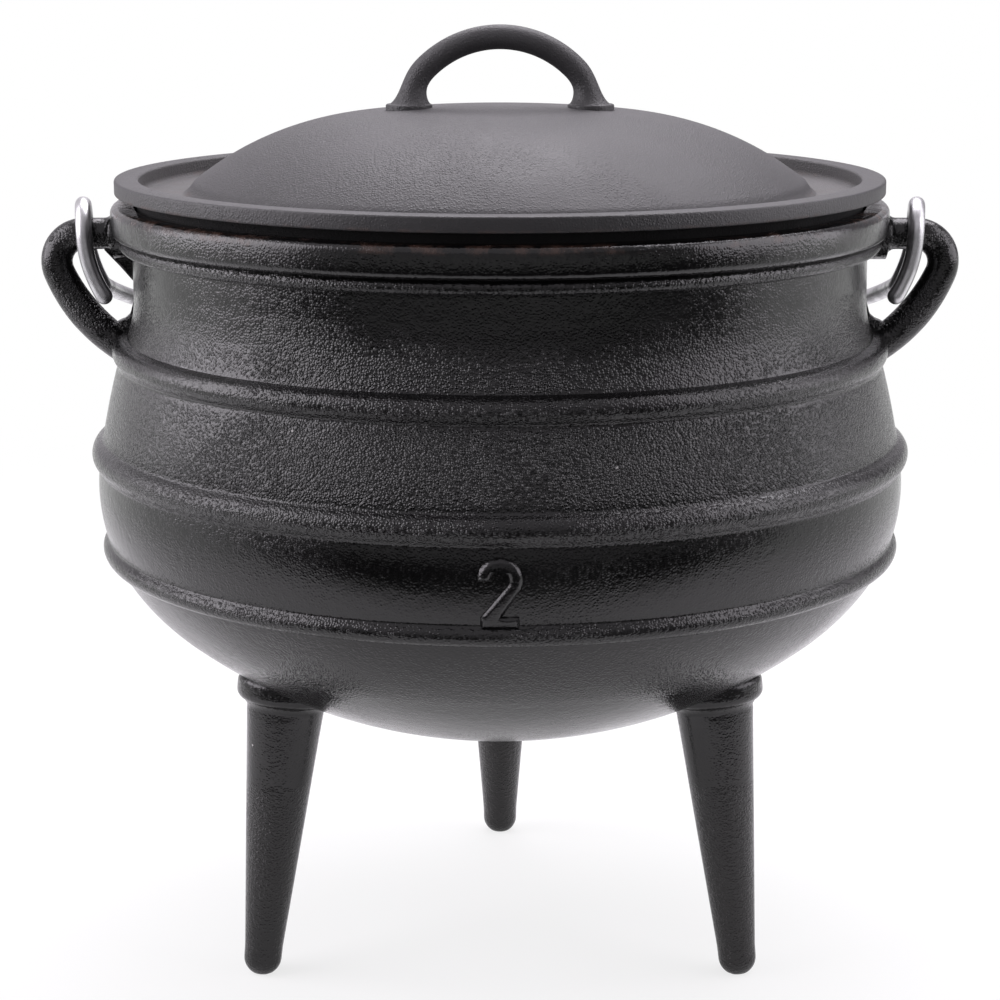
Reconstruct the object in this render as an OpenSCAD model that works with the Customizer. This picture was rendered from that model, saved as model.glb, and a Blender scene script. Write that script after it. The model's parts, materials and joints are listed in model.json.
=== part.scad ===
// Three-legged cast-iron cooking pot with a domed lid and a wire bail.
// Lengths are in millimetres. The pot stands on Z = 0 with its axis on Z,
// its size number faces -Y and the bail's ears stand along X.

/* [Belly] */
// Height of the belly's lowest point above the ground
belly_lift = 67; // [52:0.5:84]
// Height from the belly's lowest point to the middle of the low band
belly_depth = 59; // [48:0.5:72]
// Radius of the round turn between the flank and the bottom
knuckle_r = 66.9; // [54:0.1:81]
// Slope of the flank where it leaves the low band, from upright, in degrees
flank_angle = 27.8; // [22:0.1:34]
// Thickness of the cast wall
wall = 5; // [3.8:0.1:6.2]

/* [Side wall] */
// Outer radius of the wall behind the middle band, its widest place
body_r = 119.8; // [98:0.1:145]
// How much less that radius is behind the low band
low_narrowing = 2.4; // [1.5:0.1:4]
// How much less that radius is behind the shoulder band
top_narrowing = 6.8; // [5:0.1:9]
// How much less that radius is at the neck
neck_narrowing = 11; // [8.5:0.1:14]
// Height from the low band to the middle band
low_to_middle = 28.6; // [23:0.1:35]
// Height from the middle band to the shoulder band
middle_to_shoulder = 30; // [24:0.1:37]
// Height from the shoulder band to the bead under the collar
shoulder_to_bead = 31.7; // [26:0.1:38]
// Bulge of the wall between the low band and the middle band
low_bow = 2.1; // [0.5:0.1:3]
// Bulge of the wall between the middle band and the shoulder band
top_bow = 0.5; // [0.1:0.1:1]

/* [Bands] */
// Radius of the low band's round section
low_band_r = 3.2; // [2.6:0.1:4]
// Radius of the middle band's round section
middle_band_r = 4.2; // [3.4:0.1:5.1]
// Radius of the shoulder band's round section
shoulder_band_r = 3.9; // [3.2:0.1:4.7]
// How far the bands stand out from the wall
band_proud = 2.7; // [2:0.1:3.2]
// Radius of the bead's round section under the collar
bead_r = 2.1; // [1.7:0.1:2.5]
// How far the bead stands out from the neck
bead_proud = 3.7; // [3:0.1:4]

/* [Collar and mouth] */
// Height from the bead to the collar's lower edge
bead_to_collar = 2.3; // [1.8:0.1:2.8]
// Height of the collar
collar_h = 9; // [7.5:0.1:11]
// How far the collar stands out from the neck
collar_proud = 6.1; // [5:0.1:7.4]
// Rounding of the collar's edges
collar_round = 1.5; // [1:0.1:1.9]
// Width of the flat rim between the mouth and the collar's edge
rim_w = 6.9; // [5.8:0.1:8]
// Depth of the step inside the mouth that the lid's spigot drops into
mouth_step = 6; // [5.4:0.1:7.2]

/* [Legs] */
// Distance of a foot's middle from the pot's axis
foot_pitch_r = 82.3; // [78:0.1:98]
// Distance of a leg's middle from the pot's axis where it meets the belly
leg_pitch_r = 72.4; // [62:0.1:77]
// Radius of a leg just above its foot
leg_foot_r = 5.4; // [4.5:0.1:6.5]
// Radius of a leg just below its boss
leg_top_r = 11.6; // [9.6:0.1:13.4]
// Radius of the round foot
foot_ball_r = 5.6; // [5.5:0.1:6.6]
// Height of the foot's middle above the ground, less than its radius
foot_ball_lift = 4.7; // [3.9:0.1:5.4]
// Radius of the boss at a leg's root
boss_r = 14.7; // [13.6:0.1:17.5]
// Height of the boss at a leg's root
boss_h = 8; // [6.6:0.1:9.6]
// Rounding of the boss
boss_round = 2.8; // [1.5:0.1:3.2]

/* [Ears] */
// How far an ear stands out from the collar
ear_reach = 22.2; // [20:0.1:25.5]
// Radius of the bar in an ear's arm and outer bend
ear_bar_r = 4.7; // [4:0.1:5.2]
// Radius of the bar in an ear's lower limb
limb_bar_r = 5; // [4.3:0.1:5.5]
// Radius of an ear's outer bend, on its middle line
ear_bend_r = 8.5; // [7.3:0.1:9.5]
// Angle that an ear's outer bend turns through
ear_turn = 113; // [100:1:122]
// Height of an ear's arm above the bead
ear_lift = 1.2; // [0.6:0.1:1.8]
// Radius of an ear's arm where it meets the collar
ear_root_r = 6.6; // [5.6:0.1:7.6]
// Length of the flare at an ear's arm
ear_flare = 4; // [3:0.1:5]
// Radius of an ear's lower limb at its end inside the wall
limb_root_r = 6.4; // [5.6:0.1:7.3]
// Length of the flare at an ear's lower limb
limb_flare = 12; // [10:0.1:13.8]
// How far the lower limb's end lies inside the shoulder's outer radius
limb_root_in = 5; // [4.2:0.1:5.8]
// Depth of the lower limb's end below the shoulder band
limb_drop = 4; // [3.4:0.1:4.6]

/* [Size number] */
// Height of the raised number on the front
number_h = 19; // [15:0.1:22]
// Width of the number
number_w = 13.1; // [11.2:0.1:15.5]
// Width of the number's strokes
number_stroke = 4; // [3.3:0.1:4.8]
// How far the number stands out from the wall
number_proud = 0.9; // [0.6:0.1:1.4]
// Height from the low band to the number's foot
number_lift = 2.2; // [1.5:0.1:4.5]

/* [Lid] */
// How far the lid's edge stands inside the collar's edge
lid_set_in = 1.5; // [1:0.1:2]
// How far the seat's edge stands inside the lid's edge
lid_seat_in = 2.8; // [2.2:0.1:3.4]
// Height of the lid's edge
lid_edge_h = 4.4; // [3.6:0.1:5.4]
// Height of the dark gap between the collar and the lid's edge
lid_edge_gap = 3.1; // [2.4:0.1:3.8]
// Width of the flat rim on top of the lid
lid_rim_w = 7.1; // [5.8:0.1:8.4]
// Depth of the gutter inside that rim
gutter_depth = 4.8; // [3.8:0.1:5.8]
// Width of the gutter's floor
gutter_w = 12; // [10:0.1:14]
// Height of the dome above the gutter's floor
dome_rise = 24.9; // [21:0.1:30]
// Radius of curvature of the dome's flat crown
crown_r = 430; // [350:1:520]
// Half angle of the dome's flat crown
crown_angle = 5.6; // [4.5:0.1:6.6]
// Thickness of the lid's plate
lid_wall = 4.5; // [3.6:0.1:5.4]
// Width of the spigot that centres the lid in the mouth
spigot_w = 5; // [4:0.1:6]
// Depth of the spigot below the lid's seat
spigot_h = 4.1; // [3.4:0.1:5]

/* [Lid handle] */
// Radius of the handle's bar
handle_bar_r = 3.65; // [3:0.05:4.4]
// Radius of the handle's loop, on its middle line
handle_loop_r = 31; // [26:0.1:37]
// Depth of the loop's centre below the dome's top
handle_sink = 11; // [9:0.1:13]
// Radius of the pads under the handle's ends
pad_r = 7.1; // [6:0.1:8.4]
// Height of a pad's edge above the dome
pad_edge_h = 1.5; // [1.2:0.1:1.8]
// Height of a pad's flare above the dome
pad_flare_h = 7; // [6:0.1:8.4]

/* [Bail] */
// Radius of the bail's wire
wire_r = 2.4; // [2:0.1:2.8]
// Distance from an ear's outer edge back to the bail's hook
hook_from_edge = 13.4; // [12.9:0.1:15]
// Radius of the legs' bend towards the pot below a hook
leg_bend_r = 36; // [31:0.1:42]
// Lean of a hook's upright plane, in degrees
hook_lean = 2; // [1:0.1:3]
// Turn of a hook's plane about the upright, with its rear leg further out, in degrees
hook_turn = 7; // [4:0.5:8]
// Angle along the bend at which the free leg ends
free_leg_angle = 31.5; // [27:0.1:33]
// Angle along the bend at which the hoop's leg ends
hoop_leg_angle = 21; // [18:0.1:24]
// Radius of the bend from the leg into the hoop
hoop_bend_r = 6; // [5:0.1:7.2]
// Droop of the hoop behind the pot, below level, in degrees
hoop_droop = 16.5; // [14:0.1:19]
// Radius of the ball at the end of the free leg
tip_r = 2.6; // [2.5:0.1:2.9]

/* [Clearances] */
// Play between the lid's spigot and the pot's mouth, on each side
spigot_play = 1; // [0.5:0.1:1.5]
// Gap under the lid's seat
seat_gap = 0.2; // [0.1:0.05:0.4]
// Play between the bail's hook and the ear's bar
hook_play = 1.5; // [1.1:0.1:1.8]
// Gap between the hanging bail and the wall behind it
bail_gap = 0.8; // [0.6:0.1:1.2]

/* [Hidden] */
$fn = 96;
iron = "#1b1b1c";
iron_lid = "#3a3a3c";
zinc = "#b9bdc0";
// Extra length of a cutting tool past the face that it cuts
past = 20;
// How deep an added part is rooted in the wall that carries it
root = 2;
// Bends of a bar meet in a ball this much larger than the bar, and end this short of each other
joint_swell = 0.05;
joint_gap = 0.1;
// Points along a long curve and round an edge
curve_n = 12;
edge_n = 4;
// Height between a band and the curve that starts beside it
band_gap = 0.2;
// How far the flank and the neck's hollow start inside the wall behind the nearest band
flank_in = 1;
neck_start_in = 1.8;
// Share of the height between the shoulder band and the bead that the neck's hollow takes
neck_hollow_share = 0.36;
// Height of the slope under the step inside the mouth
mouth_slope_h = mouth_step / 2;
// Turns of the legs about the pot's axis
leg_turns = [-30, 90, 210];
// Share of a boss that lies inside the belly on the leg's middle line
boss_root_share = 0.36;
// Angles where the number's bowl begins and where it turns into the slanting stroke
number_tip_angle = 171;
number_turn_angle = -30;
// How far the number's slanting stroke reaches into its bowl
number_lap = 0.2;
// Rounding of the lid's edges, and bevels in its gutter and on its spigot
lid_edge_round = 0.8;
gutter_bevel = 1;
spigot_bevel = 1;
// Width of the spigot's root as a multiple of its tip's
spigot_flare = 1.5;

// Heights above the ground
low_z = belly_lift + belly_depth;
middle_z = low_z + low_to_middle;
shoulder_z = middle_z + middle_to_shoulder;
bead_z = shoulder_z + shoulder_to_bead;
collar_z = bead_z + bead_to_collar;
rim_z = collar_z + collar_h;

// Outer radii of the wall
low_r = body_r - low_narrowing;
shoulder_r = body_r - top_narrowing;
neck_r = body_r - neck_narrowing;
collar_r = neck_r + collar_proud;
mouth_r = collar_r - rim_w;

// Place where the flank starts under the low band
flank_start = [low_r - flank_in, low_z - low_band_r - band_gap];
knuckle_c = flank_start - knuckle_r * [cos(flank_angle), -sin(flank_angle)];
// The bottom is a cap of a sphere that meets the round turn smoothly
bottom_drop = belly_lift - knuckle_c.y;
bottom_r = (knuckle_r ^ 2 - knuckle_c.x ^ 2 - bottom_drop ^ 2) / (2 * (bottom_drop + knuckle_r));
bottom_c = [0, belly_lift + bottom_r];
bottom_angle = atan2(knuckle_c.y - bottom_c.y, knuckle_c.x);

// Neck: upright below the bead, then a hollow curve out to the shoulder band
neck_base_z = shoulder_z + shoulder_band_r + band_gap;
neck_hollow_h = neck_hollow_share * shoulder_to_bead;
neck_flare = shoulder_r - neck_start_in - neck_r;
neck_hollow_r = (neck_hollow_h ^ 2 + neck_flare ^ 2) / (2 * neck_flare);

// Points along an arc about c, from angle a0 to angle a1
function arc(c, r, a0, a1, n) =
    [for (i = [0:n]) let (a = a0 + (a1 - a0) * i / n) c + r * [cos(a), sin(a)]];

// Radius of a bowed wall at the share t of its height
function bowed(r0, r1, bow, t) = r0 + (r1 - r0) * t + 4 * bow * t * (1 - t);

// Points up a bowed wall, moved out by the given amount
function bowed_wall(r0, z0, r1, z1, bow, out = 0) =
    [for (i = [0:curve_n / 2]) let (t = 2 * i / curve_n) [bowed(r0, r1, bow, t) + out, z0 + (z1 - z0) * t]];

// The belly's section from its lowest point up to the flank's start, moved in by the given amount
function belly_curve(in) = concat(
    arc(bottom_c, bottom_r - in, -90, bottom_angle, curve_n),
    arc(knuckle_c, knuckle_r - in, bottom_angle, -flank_angle, curve_n));

// Height of the belly's outside at the radius r, on its round turn
function belly_z(r) = knuckle_c.y - sqrt(knuckle_r ^ 2 - (r - knuckle_c.x) ^ 2);

module body_section() {
    polygon(concat(
        belly_curve(0),
        bowed_wall(low_r, low_z, body_r, middle_z, low_bow),
        bowed_wall(body_r, middle_z, shoulder_r, shoulder_z, top_bow),
        arc([neck_r + neck_hollow_r, neck_base_z + neck_hollow_h], neck_hollow_r,
            180 + asin(neck_hollow_h / neck_hollow_r), 180, curve_n / 2),
        [[neck_r, collar_z]],
        arc([collar_r - collar_round, collar_z + collar_round], collar_round, -90, 0, edge_n),
        arc([collar_r - collar_round, rim_z - collar_round], collar_round, 0, 90, edge_n),
        [[0, rim_z]]));
    band_section(low_r, low_z, low_band_r, band_proud);
    band_section(body_r, middle_z, middle_band_r, band_proud);
    band_section(shoulder_r, shoulder_z, shoulder_band_r, band_proud);
    band_section(neck_r, bead_z, bead_r, bead_proud);
}

module band_section(r, z, band_r, proud) {
    translate([r + proud - band_r, z])
        circle(r = band_r);
}

module cavity() {
    rotate_extrude()
        polygon(concat(
            belly_curve(wall),
            bowed_wall(low_r, low_z, body_r, middle_z, low_bow, -wall),
            bowed_wall(body_r, middle_z, shoulder_r, shoulder_z, top_bow, -wall),
            [[neck_r - wall, neck_base_z + neck_hollow_h]],
            [[neck_r - wall, rim_z - mouth_step - mouth_slope_h]],
            [[mouth_r, rim_z - mouth_step]],
            [[mouth_r, rim_z + past]],
            [[0, rim_z + past]]));
}

// One leg, standing on the ground, in the +X direction from the pot's axis
module leg() {
    meet_z = belly_z(leg_pitch_r);
    lean = atan((foot_pitch_r - leg_pitch_r) / (meet_z - foot_ball_lift));
    leg_l = (meet_z - foot_ball_lift) / cos(lean);
    boss_top = leg_l + boss_root_share * boss_h;
    translate([foot_pitch_r, 0, foot_ball_lift])
        rotate([0, -lean, 0]) {
            sphere(r = foot_ball_r);
            rotate_extrude()
                polygon(concat(
                    [[0, 0], [leg_foot_r, 0]],
                    [[leg_top_r, boss_top - boss_h]],
                    arc([boss_r - boss_round, boss_top - boss_h + boss_round], boss_round, -90, 0, edge_n),
                    arc([boss_r - boss_round, boss_top - boss_round], boss_round, 0, 90, edge_n),
                    [[0, boss_top]]));
        }
}

module legs() {
    difference() {
        for (turn = leg_turns)
            rotate([0, 0, turn])
                leg();
        translate([0, 0, -past])
            cylinder(r = foot_pitch_r + past, h = past);
    }
}

// The ear's arm, its outer bend and its lower limb, in the +X direction
ear_bend_x = collar_r + ear_reach - ear_bend_r - ear_bar_r;
ear_z = bead_z + ear_lift;
ear_out = 90 - ear_turn;
limb_start = [ear_bend_x, ear_z - ear_bend_r] + ear_bend_r * [cos(ear_out), sin(ear_out)];
limb_end = [shoulder_r - limb_root_in, shoulder_z - limb_drop];
limb_chord = limb_end - limb_start;
limb_in = [-cos(ear_out), -sin(ear_out)];
limb_r = (limb_chord * limb_chord) / (2 * (limb_chord * limb_in));
limb_c = limb_start + limb_r * limb_in;
limb_end_angle = atan2(limb_end.y - limb_c.y, limb_end.x - limb_c.x);

module ear() {
    translate([neck_r - root, 0, ear_z])
        rotate([0, 90, 0])
            cylinder(r = ear_bar_r, h = ear_bend_x - neck_r + root - joint_gap);
    translate([collar_r - root, 0, ear_z])
        rotate([0, 90, 0])
            cylinder(r1 = ear_root_r, r2 = ear_bar_r, h = ear_flare + root);
    ear_joint([ear_bend_x, ear_z], ear_bar_r);
    bar_arc([ear_bend_x, ear_z - ear_bend_r], ear_bend_r, ear_out, 90, ear_bar_r);
    ear_joint(limb_start, limb_bar_r);
    bar_arc(limb_c, limb_r, limb_end_angle, ear_out, limb_bar_r);
    translate([limb_end.x, 0, limb_end.y])
        rotate([0, -limb_end_angle, 0])
            cylinder(r1 = limb_root_r, r2 = limb_bar_r, h = limb_flare);
}

// Turns an arc by this much at each end to leave the gap at a joint
function trim(r) = joint_gap / r * 180 / PI;

module ear_joint(p, bar_r) {
    translate([p.x, 0, p.y])
        sphere(r = bar_r + joint_swell);
}

// Part of a ring of round bar in the XZ plane
module bar_arc(c, r, a0, a1, bar_r) {
    translate([c.x, 0, c.y])
        rotate([90, 0, 0])
            rotate([0, 0, a0 + trim(r)])
                rotate_extrude(angle = a1 - a0 - 2 * trim(r))
                    translate([r, 0])
                        circle(r = bar_r);
}

// The raised number 2: a bowl, a slanting stroke and a foot that stands on the X axis
module number_outline() {
    bowl_r = number_w / 2;
    hole_r = bowl_r - number_stroke;
    bowl_c = [0, number_h - bowl_r];
    slant = [cos(number_turn_angle), sin(number_turn_angle)];
    translate(bowl_c)
        intersection() {
            difference() {
                circle(r = bowl_r);
                circle(r = hole_r);
            }
            polygon(concat(
                [[0, 0]],
                arc([0, 0], number_w, number_turn_angle - number_stroke, number_tip_angle, curve_n)));
        }
    polygon([
        [-bowl_r, 0],
        [-bowl_r, number_stroke],
        bowl_c + (hole_r + number_lap) * slant,
        bowl_c + (bowl_r - number_lap) * slant,
        [0, number_stroke],
        [0, 0]]);
    translate([-bowl_r, 0])
        square([number_w, number_stroke]);
}

// The number stands on the wall and follows its curve
module number() {
    intersection() {
        translate([0, 0, low_z + number_lift])
            rotate([90, 0, 0])
                linear_extrude(body_r + past)
                    number_outline();
        rotate_extrude()
            polygon(concat(
                [[low_r - wall + root, low_z]],
                bowed_wall(low_r, low_z, body_r, middle_z, low_bow, number_proud),
                [[body_r - wall + root, middle_z]]));
    }
}

module pot() {
    color(iron)
        difference() {
            union() {
                rotate_extrude()
                    body_section();
                legs();
                ear();
                mirror([1, 0, 0])
                    ear();
                number();
            }
            cavity();
        }
}

// Lid: heights and radii follow the pot's rim
seat_z = rim_z + seat_gap;
lid_edge_z = rim_z + lid_edge_gap;
lid_top_z = lid_edge_z + lid_edge_h;
lid_r = collar_r - lid_set_in;
seat_r = lid_r - lid_seat_in;
spigot_r = mouth_r - spigot_play;
gutter_r = lid_r - lid_rim_w;
gutter_z = lid_top_z - gutter_depth;
dome_foot_r = gutter_r - gutter_w;
dome_top_z = gutter_z + dome_rise;

// Dome: a flat crown, then a rounder arc down to the gutter
crown_c = [0, dome_top_z - crown_r];
crown_edge = crown_c + crown_r * [sin(crown_angle), cos(crown_angle)];
dome_chord = [dome_foot_r, gutter_z] - crown_edge;
dome_in = [-sin(crown_angle), -cos(crown_angle)];
dome_r = (dome_chord * dome_chord) / (2 * (dome_chord * dome_in));
dome_c = crown_edge + dome_r * dome_in;
dome_foot_angle = atan2(gutter_z - dome_c.y, dome_foot_r - dome_c.x);

function dome_curve(in) = concat(
    arc(crown_c, crown_r - in, 90, 90 - crown_angle, edge_n),
    arc(dome_c, dome_r - in, 90 - crown_angle, dome_foot_angle, curve_n));

// Height of the dome's outside at the radius r, on its crown
function dome_z(r) = crown_c.y + sqrt(crown_r ^ 2 - r ^ 2);

module lid_plate() {
    edge = lid_edge_round;
    spigot_z = seat_z - spigot_h;
    under = dome_curve(lid_wall);
    rotate_extrude()
        polygon(concat(
            dome_curve(0),
            [[gutter_r - gutter_bevel, gutter_z], [gutter_r, gutter_z + gutter_bevel]],
            arc([gutter_r + edge, lid_top_z - edge], edge, 180, 90, edge_n),
            arc([lid_r - edge, lid_top_z - edge], edge, 90, 0, edge_n),
            arc([lid_r - edge, lid_edge_z + edge], edge, 0, -90, edge_n),
            [[seat_r, lid_edge_z], [seat_r, seat_z], [spigot_r, seat_z]],
            [[spigot_r, spigot_z + spigot_bevel], [spigot_r - spigot_bevel, spigot_z]],
            [[spigot_r - spigot_w, spigot_z], [spigot_r - spigot_flare * spigot_w, gutter_z - lid_wall]],
            [for (i = [len(under) - 1:-1:0]) under[i]]));
}

// The handle's loop stands on two round pads
handle_c_z = dome_top_z - handle_sink;
pad_x = sqrt(handle_loop_r ^ 2 - (dome_z(handle_loop_r) + pad_edge_h - handle_c_z) ^ 2);

module lid_handle() {
    foot_angle = asin((dome_z(pad_x) - root - handle_c_z) / handle_loop_r);
    translate([0, 0, handle_c_z])
        rotate([90, 0, 0])
            rotate([0, 0, foot_angle])
                rotate_extrude(angle = 180 - 2 * foot_angle)
                    translate([handle_loop_r, 0])
                        circle(r = handle_bar_r);
    for (side = [-1, 1])
        translate([side * pad_x, 0, dome_z(pad_x)])
            handle_pad();
}

module handle_pad() {
    flare_w = pad_r - handle_bar_r;
    flare_h = pad_flare_h - pad_edge_h;
    flare_r = (flare_w ^ 2 + flare_h ^ 2) / (2 * flare_w);
    rotate_extrude()
        polygon(concat(
            [[0, -root], [pad_r, -root], [pad_r, pad_edge_h]],
            arc([handle_bar_r + flare_r, pad_flare_h], flare_r,
                180 + asin(flare_h / flare_r), 180, edge_n),
            [[0, pad_flare_h]]));
}

module lid() {
    color(iron_lid) {
        lid_plate();
        lid_handle();
    }
}

// Bail: one wire, bent from the free leg's tip over the ear and round the hoop.
// Points and directions are in the pot's frame, on the +X side.
hook_r = ear_bar_r + wire_r + hook_play;
hook_p = [collar_r + ear_reach - hook_from_edge, 0, ear_z];
hook_up = [sin(hook_lean), 0, cos(hook_lean)];
hook_back = [sin(hook_turn) * cos(hook_lean), cos(hook_turn), -sin(hook_turn) * sin(hook_lean)];
free_leg_p = hook_p - hook_r * hook_back;
hoop_leg_p = hook_p + hook_r * hook_back;

// Point and direction down a leg that starts at p, at the angle t of its bend
function leg_point(p, t) = p + leg_bend_r * [cos(t) - cos(hook_lean), 0, sin(hook_lean) - sin(t)];
function leg_way(t) = [-sin(t), 0, -cos(t)];

// Direction in which the hoop starts, for a given lean towards the pot
hoop_back = [0, cos(hoop_droop), -sin(hoop_droop)];
function hoop_way(lean) = [-sin(lean), 0, 0] + cos(lean) * hoop_back;
function unit(v) = v / norm(v);
// Direction square to a that turns towards b
function square_to(a, b) = unit(b - (a * b) * a);
function bend_angle(lean) = acos(leg_way(hoop_leg_angle) * hoop_way(lean));
// End of the bend from the leg into the hoop
function hoop_start(lean) = let (
    way = leg_way(hoop_leg_angle),
    inward = square_to(way, hoop_way(lean)),
    a = bend_angle(lean))
    leg_point(hoop_leg_p, hoop_leg_angle) + hoop_bend_r * ((1 - cos(a)) * inward + sin(a) * way);

// The hoop leans in so far that it lies close behind the pot's wall
rough_start = hoop_start(0);
rear_z = rough_start.z - (body_r - rough_start.y) * tan(hoop_droop);
rear_y = bowed(body_r, shoulder_r, top_bow, (rear_z - middle_z) / middle_to_shoulder) + bail_gap + wire_r;
hoop_lean = asin(1 - (rear_y - rough_start.y) / (rough_start.x * cos(hoop_droop)));
hoop_p = hoop_start(hoop_lean);
hoop_r = hoop_p.x / cos(hoop_lean);
hoop_c = [0, hoop_p.y, hoop_p.z] - hoop_r * sin(hoop_lean) * hoop_back;

// Places children with their X axis along x, Y axis along y and origin at p
module in_frame(p, x, y) {
    z = cross(x, y);
    multmatrix([
        [x.x, y.x, z.x, p.x],
        [x.y, y.y, z.y, p.y],
        [x.z, y.z, z.z, p.z],
        [0, 0, 0, 1]])
        children();
}

// Wire bent about c, starting in the direction "from" from c and moving along "way"
module wire_arc(c, from, way, r, angle) {
    in_frame(c, from, way)
        rotate([0, 0, trim(r)])
            rotate_extrude(angle = angle - 2 * trim(r))
                translate([r, 0])
                    circle(r = wire_r);
}

module wire_joint(p) {
    translate(p)
        sphere(r = wire_r + joint_swell);
}

module bail_leg(p, t0, t1) {
    wire_arc(p - leg_bend_r * [cos(hook_lean), 0, -sin(hook_lean)],
        [cos(t0), 0, -sin(t0)], leg_way(t0), leg_bend_r, t1 - t0);
}

module bail_end() {
    way = leg_way(hoop_leg_angle);
    inward = square_to(way, hoop_way(hoop_lean));
    leg_end = leg_point(hoop_leg_p, hoop_leg_angle);
    translate(leg_point(free_leg_p, free_leg_angle))
        sphere(r = tip_r);
    bail_leg(free_leg_p, hook_lean, free_leg_angle);
    wire_joint(free_leg_p);
    wire_arc(hook_p, -hook_back, hook_up, hook_r, 180);
    wire_joint(hoop_leg_p);
    bail_leg(hoop_leg_p, hook_lean, hoop_leg_angle);
    wire_joint(leg_end);
    wire_arc(leg_end + hoop_bend_r * inward, -inward, way, hoop_bend_r, bend_angle(hoop_lean));
    wire_joint(hoop_p);
}

module bail() {
    color(zinc) {
        bail_end();
        mirror([1, 0, 0])
            bail_end();
        wire_arc(hoop_c, [cos(hoop_lean), 0, 0] + sin(hoop_lean) * hoop_back,
            hoop_way(hoop_lean), hoop_r, 180 - 2 * hoop_lean);
    }
}

pot();
lid();
bail();
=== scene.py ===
"""Potjie pot: the looks of a three-legged cast-iron pot with a domed lid and a wire bail.

The castings and the wire are modelled as meshes in the frame's own place and size. Lengths in the
shape functions are in millimetres, and points are turned into metres where a mesh is made.
"""

import json
import math

import bmesh
import bpy
from mathutils import Matrix, Vector, noise
from mathutils.geometry import tessellate_polygon


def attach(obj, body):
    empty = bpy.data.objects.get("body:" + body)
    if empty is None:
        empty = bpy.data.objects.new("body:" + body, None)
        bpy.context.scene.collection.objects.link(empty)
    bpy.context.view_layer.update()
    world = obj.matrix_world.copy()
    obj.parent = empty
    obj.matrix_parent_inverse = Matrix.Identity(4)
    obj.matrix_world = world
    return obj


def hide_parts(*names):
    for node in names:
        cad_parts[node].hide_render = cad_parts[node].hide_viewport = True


bl_info = {
    "name": "Potjie pot",
    "version": (1, 0, 0),
    "blender": (4, 5, 0),
    "location": "View3D > Sidebar > Potjie",
    "description": "Builds a cast-iron potjie pot, its lid, its bail and a pale studio",
    "category": "Object",
}

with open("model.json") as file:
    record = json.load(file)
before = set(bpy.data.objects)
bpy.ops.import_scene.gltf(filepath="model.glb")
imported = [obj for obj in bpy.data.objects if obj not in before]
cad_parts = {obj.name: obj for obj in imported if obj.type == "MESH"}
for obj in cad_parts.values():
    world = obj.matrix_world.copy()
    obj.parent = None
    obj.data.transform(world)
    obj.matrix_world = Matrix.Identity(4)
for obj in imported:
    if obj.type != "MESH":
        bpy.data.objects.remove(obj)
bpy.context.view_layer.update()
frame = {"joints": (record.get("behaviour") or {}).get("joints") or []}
SWING = next(joint for joint in frame["joints"] if joint["name"] == "bail_swing")
MM = 0.001


def length(name, description, millimetres):
    """A length that a user would change, shown in Blender's own length unit."""
    return bpy.props.FloatProperty(
        name=name, description=description, default=millimetres * MM, unit="LENGTH", precision=5
    )


def share(name, description, value):
    """A share from 0 to 1."""
    return bpy.props.FloatProperty(
        name=name, description=description, default=value, min=0, max=1, subtype="FACTOR"
    )


def colour(name, description, value):
    """A linear colour."""
    return bpy.props.FloatVectorProperty(
        name=name, description=description, default=value, size=3, min=0, max=1, subtype="COLOR"
    )


class PotjieShape(bpy.types.PropertyGroup):
    """Sizes of the castings and the wire."""

    belly_lift: length("Belly lift", "Height of the belly's lowest point above the ground", 67)
    knuckle_r: length("Knuckle radius", "Radius of the round turn between flank and bottom", 66.9)
    body_r: length("Body radius", "Outer radius of the wall behind the middle band", 119.8)
    low_z: length("Low band height", "Height of the low band above the ground", 126)
    middle_z: length("Middle band height", "Height of the middle band above the ground", 154.6)
    shoulder_z: length("Shoulder band height", "Height of the shoulder band above the ground", 184.6)
    wall: length("Wall", "Thickness of the cast wall", 5)
    band_fillet: length("Band fillet", "Softness of the hollow beside each band", 1.3)
    number_proud: length("Number height", "How far the raised number stands out of the wall", 0.95)
    casting_sway: length("Casting sway", "Slow unevenness of the cast wall", 0.28)
    wire_r: length("Wire radius", "Radius of the bail's wire", 2.4)


class PotjieFinish(bpy.types.PropertyGroup):
    """Colours and grain of the finishes."""

    pot_black: colour("Pot black", "Coating of the pot", (0.0026, 0.0024, 0.0026))
    lid_grey: colour("Lid grey", "Coating of the lid", (0.028, 0.0268, 0.0285))
    rust: colour("Rust", "Rust that shows where the coating is thin", (0.085, 0.046, 0.034))
    # A pale tint for the specks, which are partly real specks and partly painted glints, and for the
    # gutter, which is painted paler with it
    dust: colour("Pale tint", "Pale specks on the coating", (0.42, 0.41, 0.4))
    zinc: colour("Zinc", "Galvanised wire", (0.6, 0.6, 0.61))
    pot_gloss: share("Pot roughness", "Roughness of the pot's coating", 0.175)
    lid_gloss: share("Lid roughness", "Roughness of the lid's coating", 0.52)
    peel: length("Orange peel", "Height of the coating's orange peel", 0.09)
    grain: length("Sand grain", "Height of the casting's sand grain", 0.6)


class PotjieStudio(bpy.types.PropertyGroup):
    """The camera and the light."""

    camera_distance: length("Camera distance", "Distance of the camera in front of the pot", 756.7)
    camera_height: length("Camera height", "Height of the camera above the ground", 306.8)
    camera_pitch: bpy.props.FloatProperty(
        name="Camera pitch",
        description="Angle that the camera looks down by",
        default=math.radians(12.72),
        subtype="ANGLE",
    )
    focal_length: bpy.props.FloatProperty(
        name="Focal length", description="Lens on a sensor 36 mm wide, in mm", default=91.5
    )
    side_light: bpy.props.FloatProperty(
        name="Side light", description="Power of each side softbox, in watts", default=5.2
    )
    top_light: bpy.props.FloatProperty(
        name="Top light", description="Power of the softbox above, in watts", default=11.0
    )
    floor_colour: colour("Floor", "Colour of the floor", (0.86, 0.86, 0.86))


# Curves in the plane of radius and height


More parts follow.
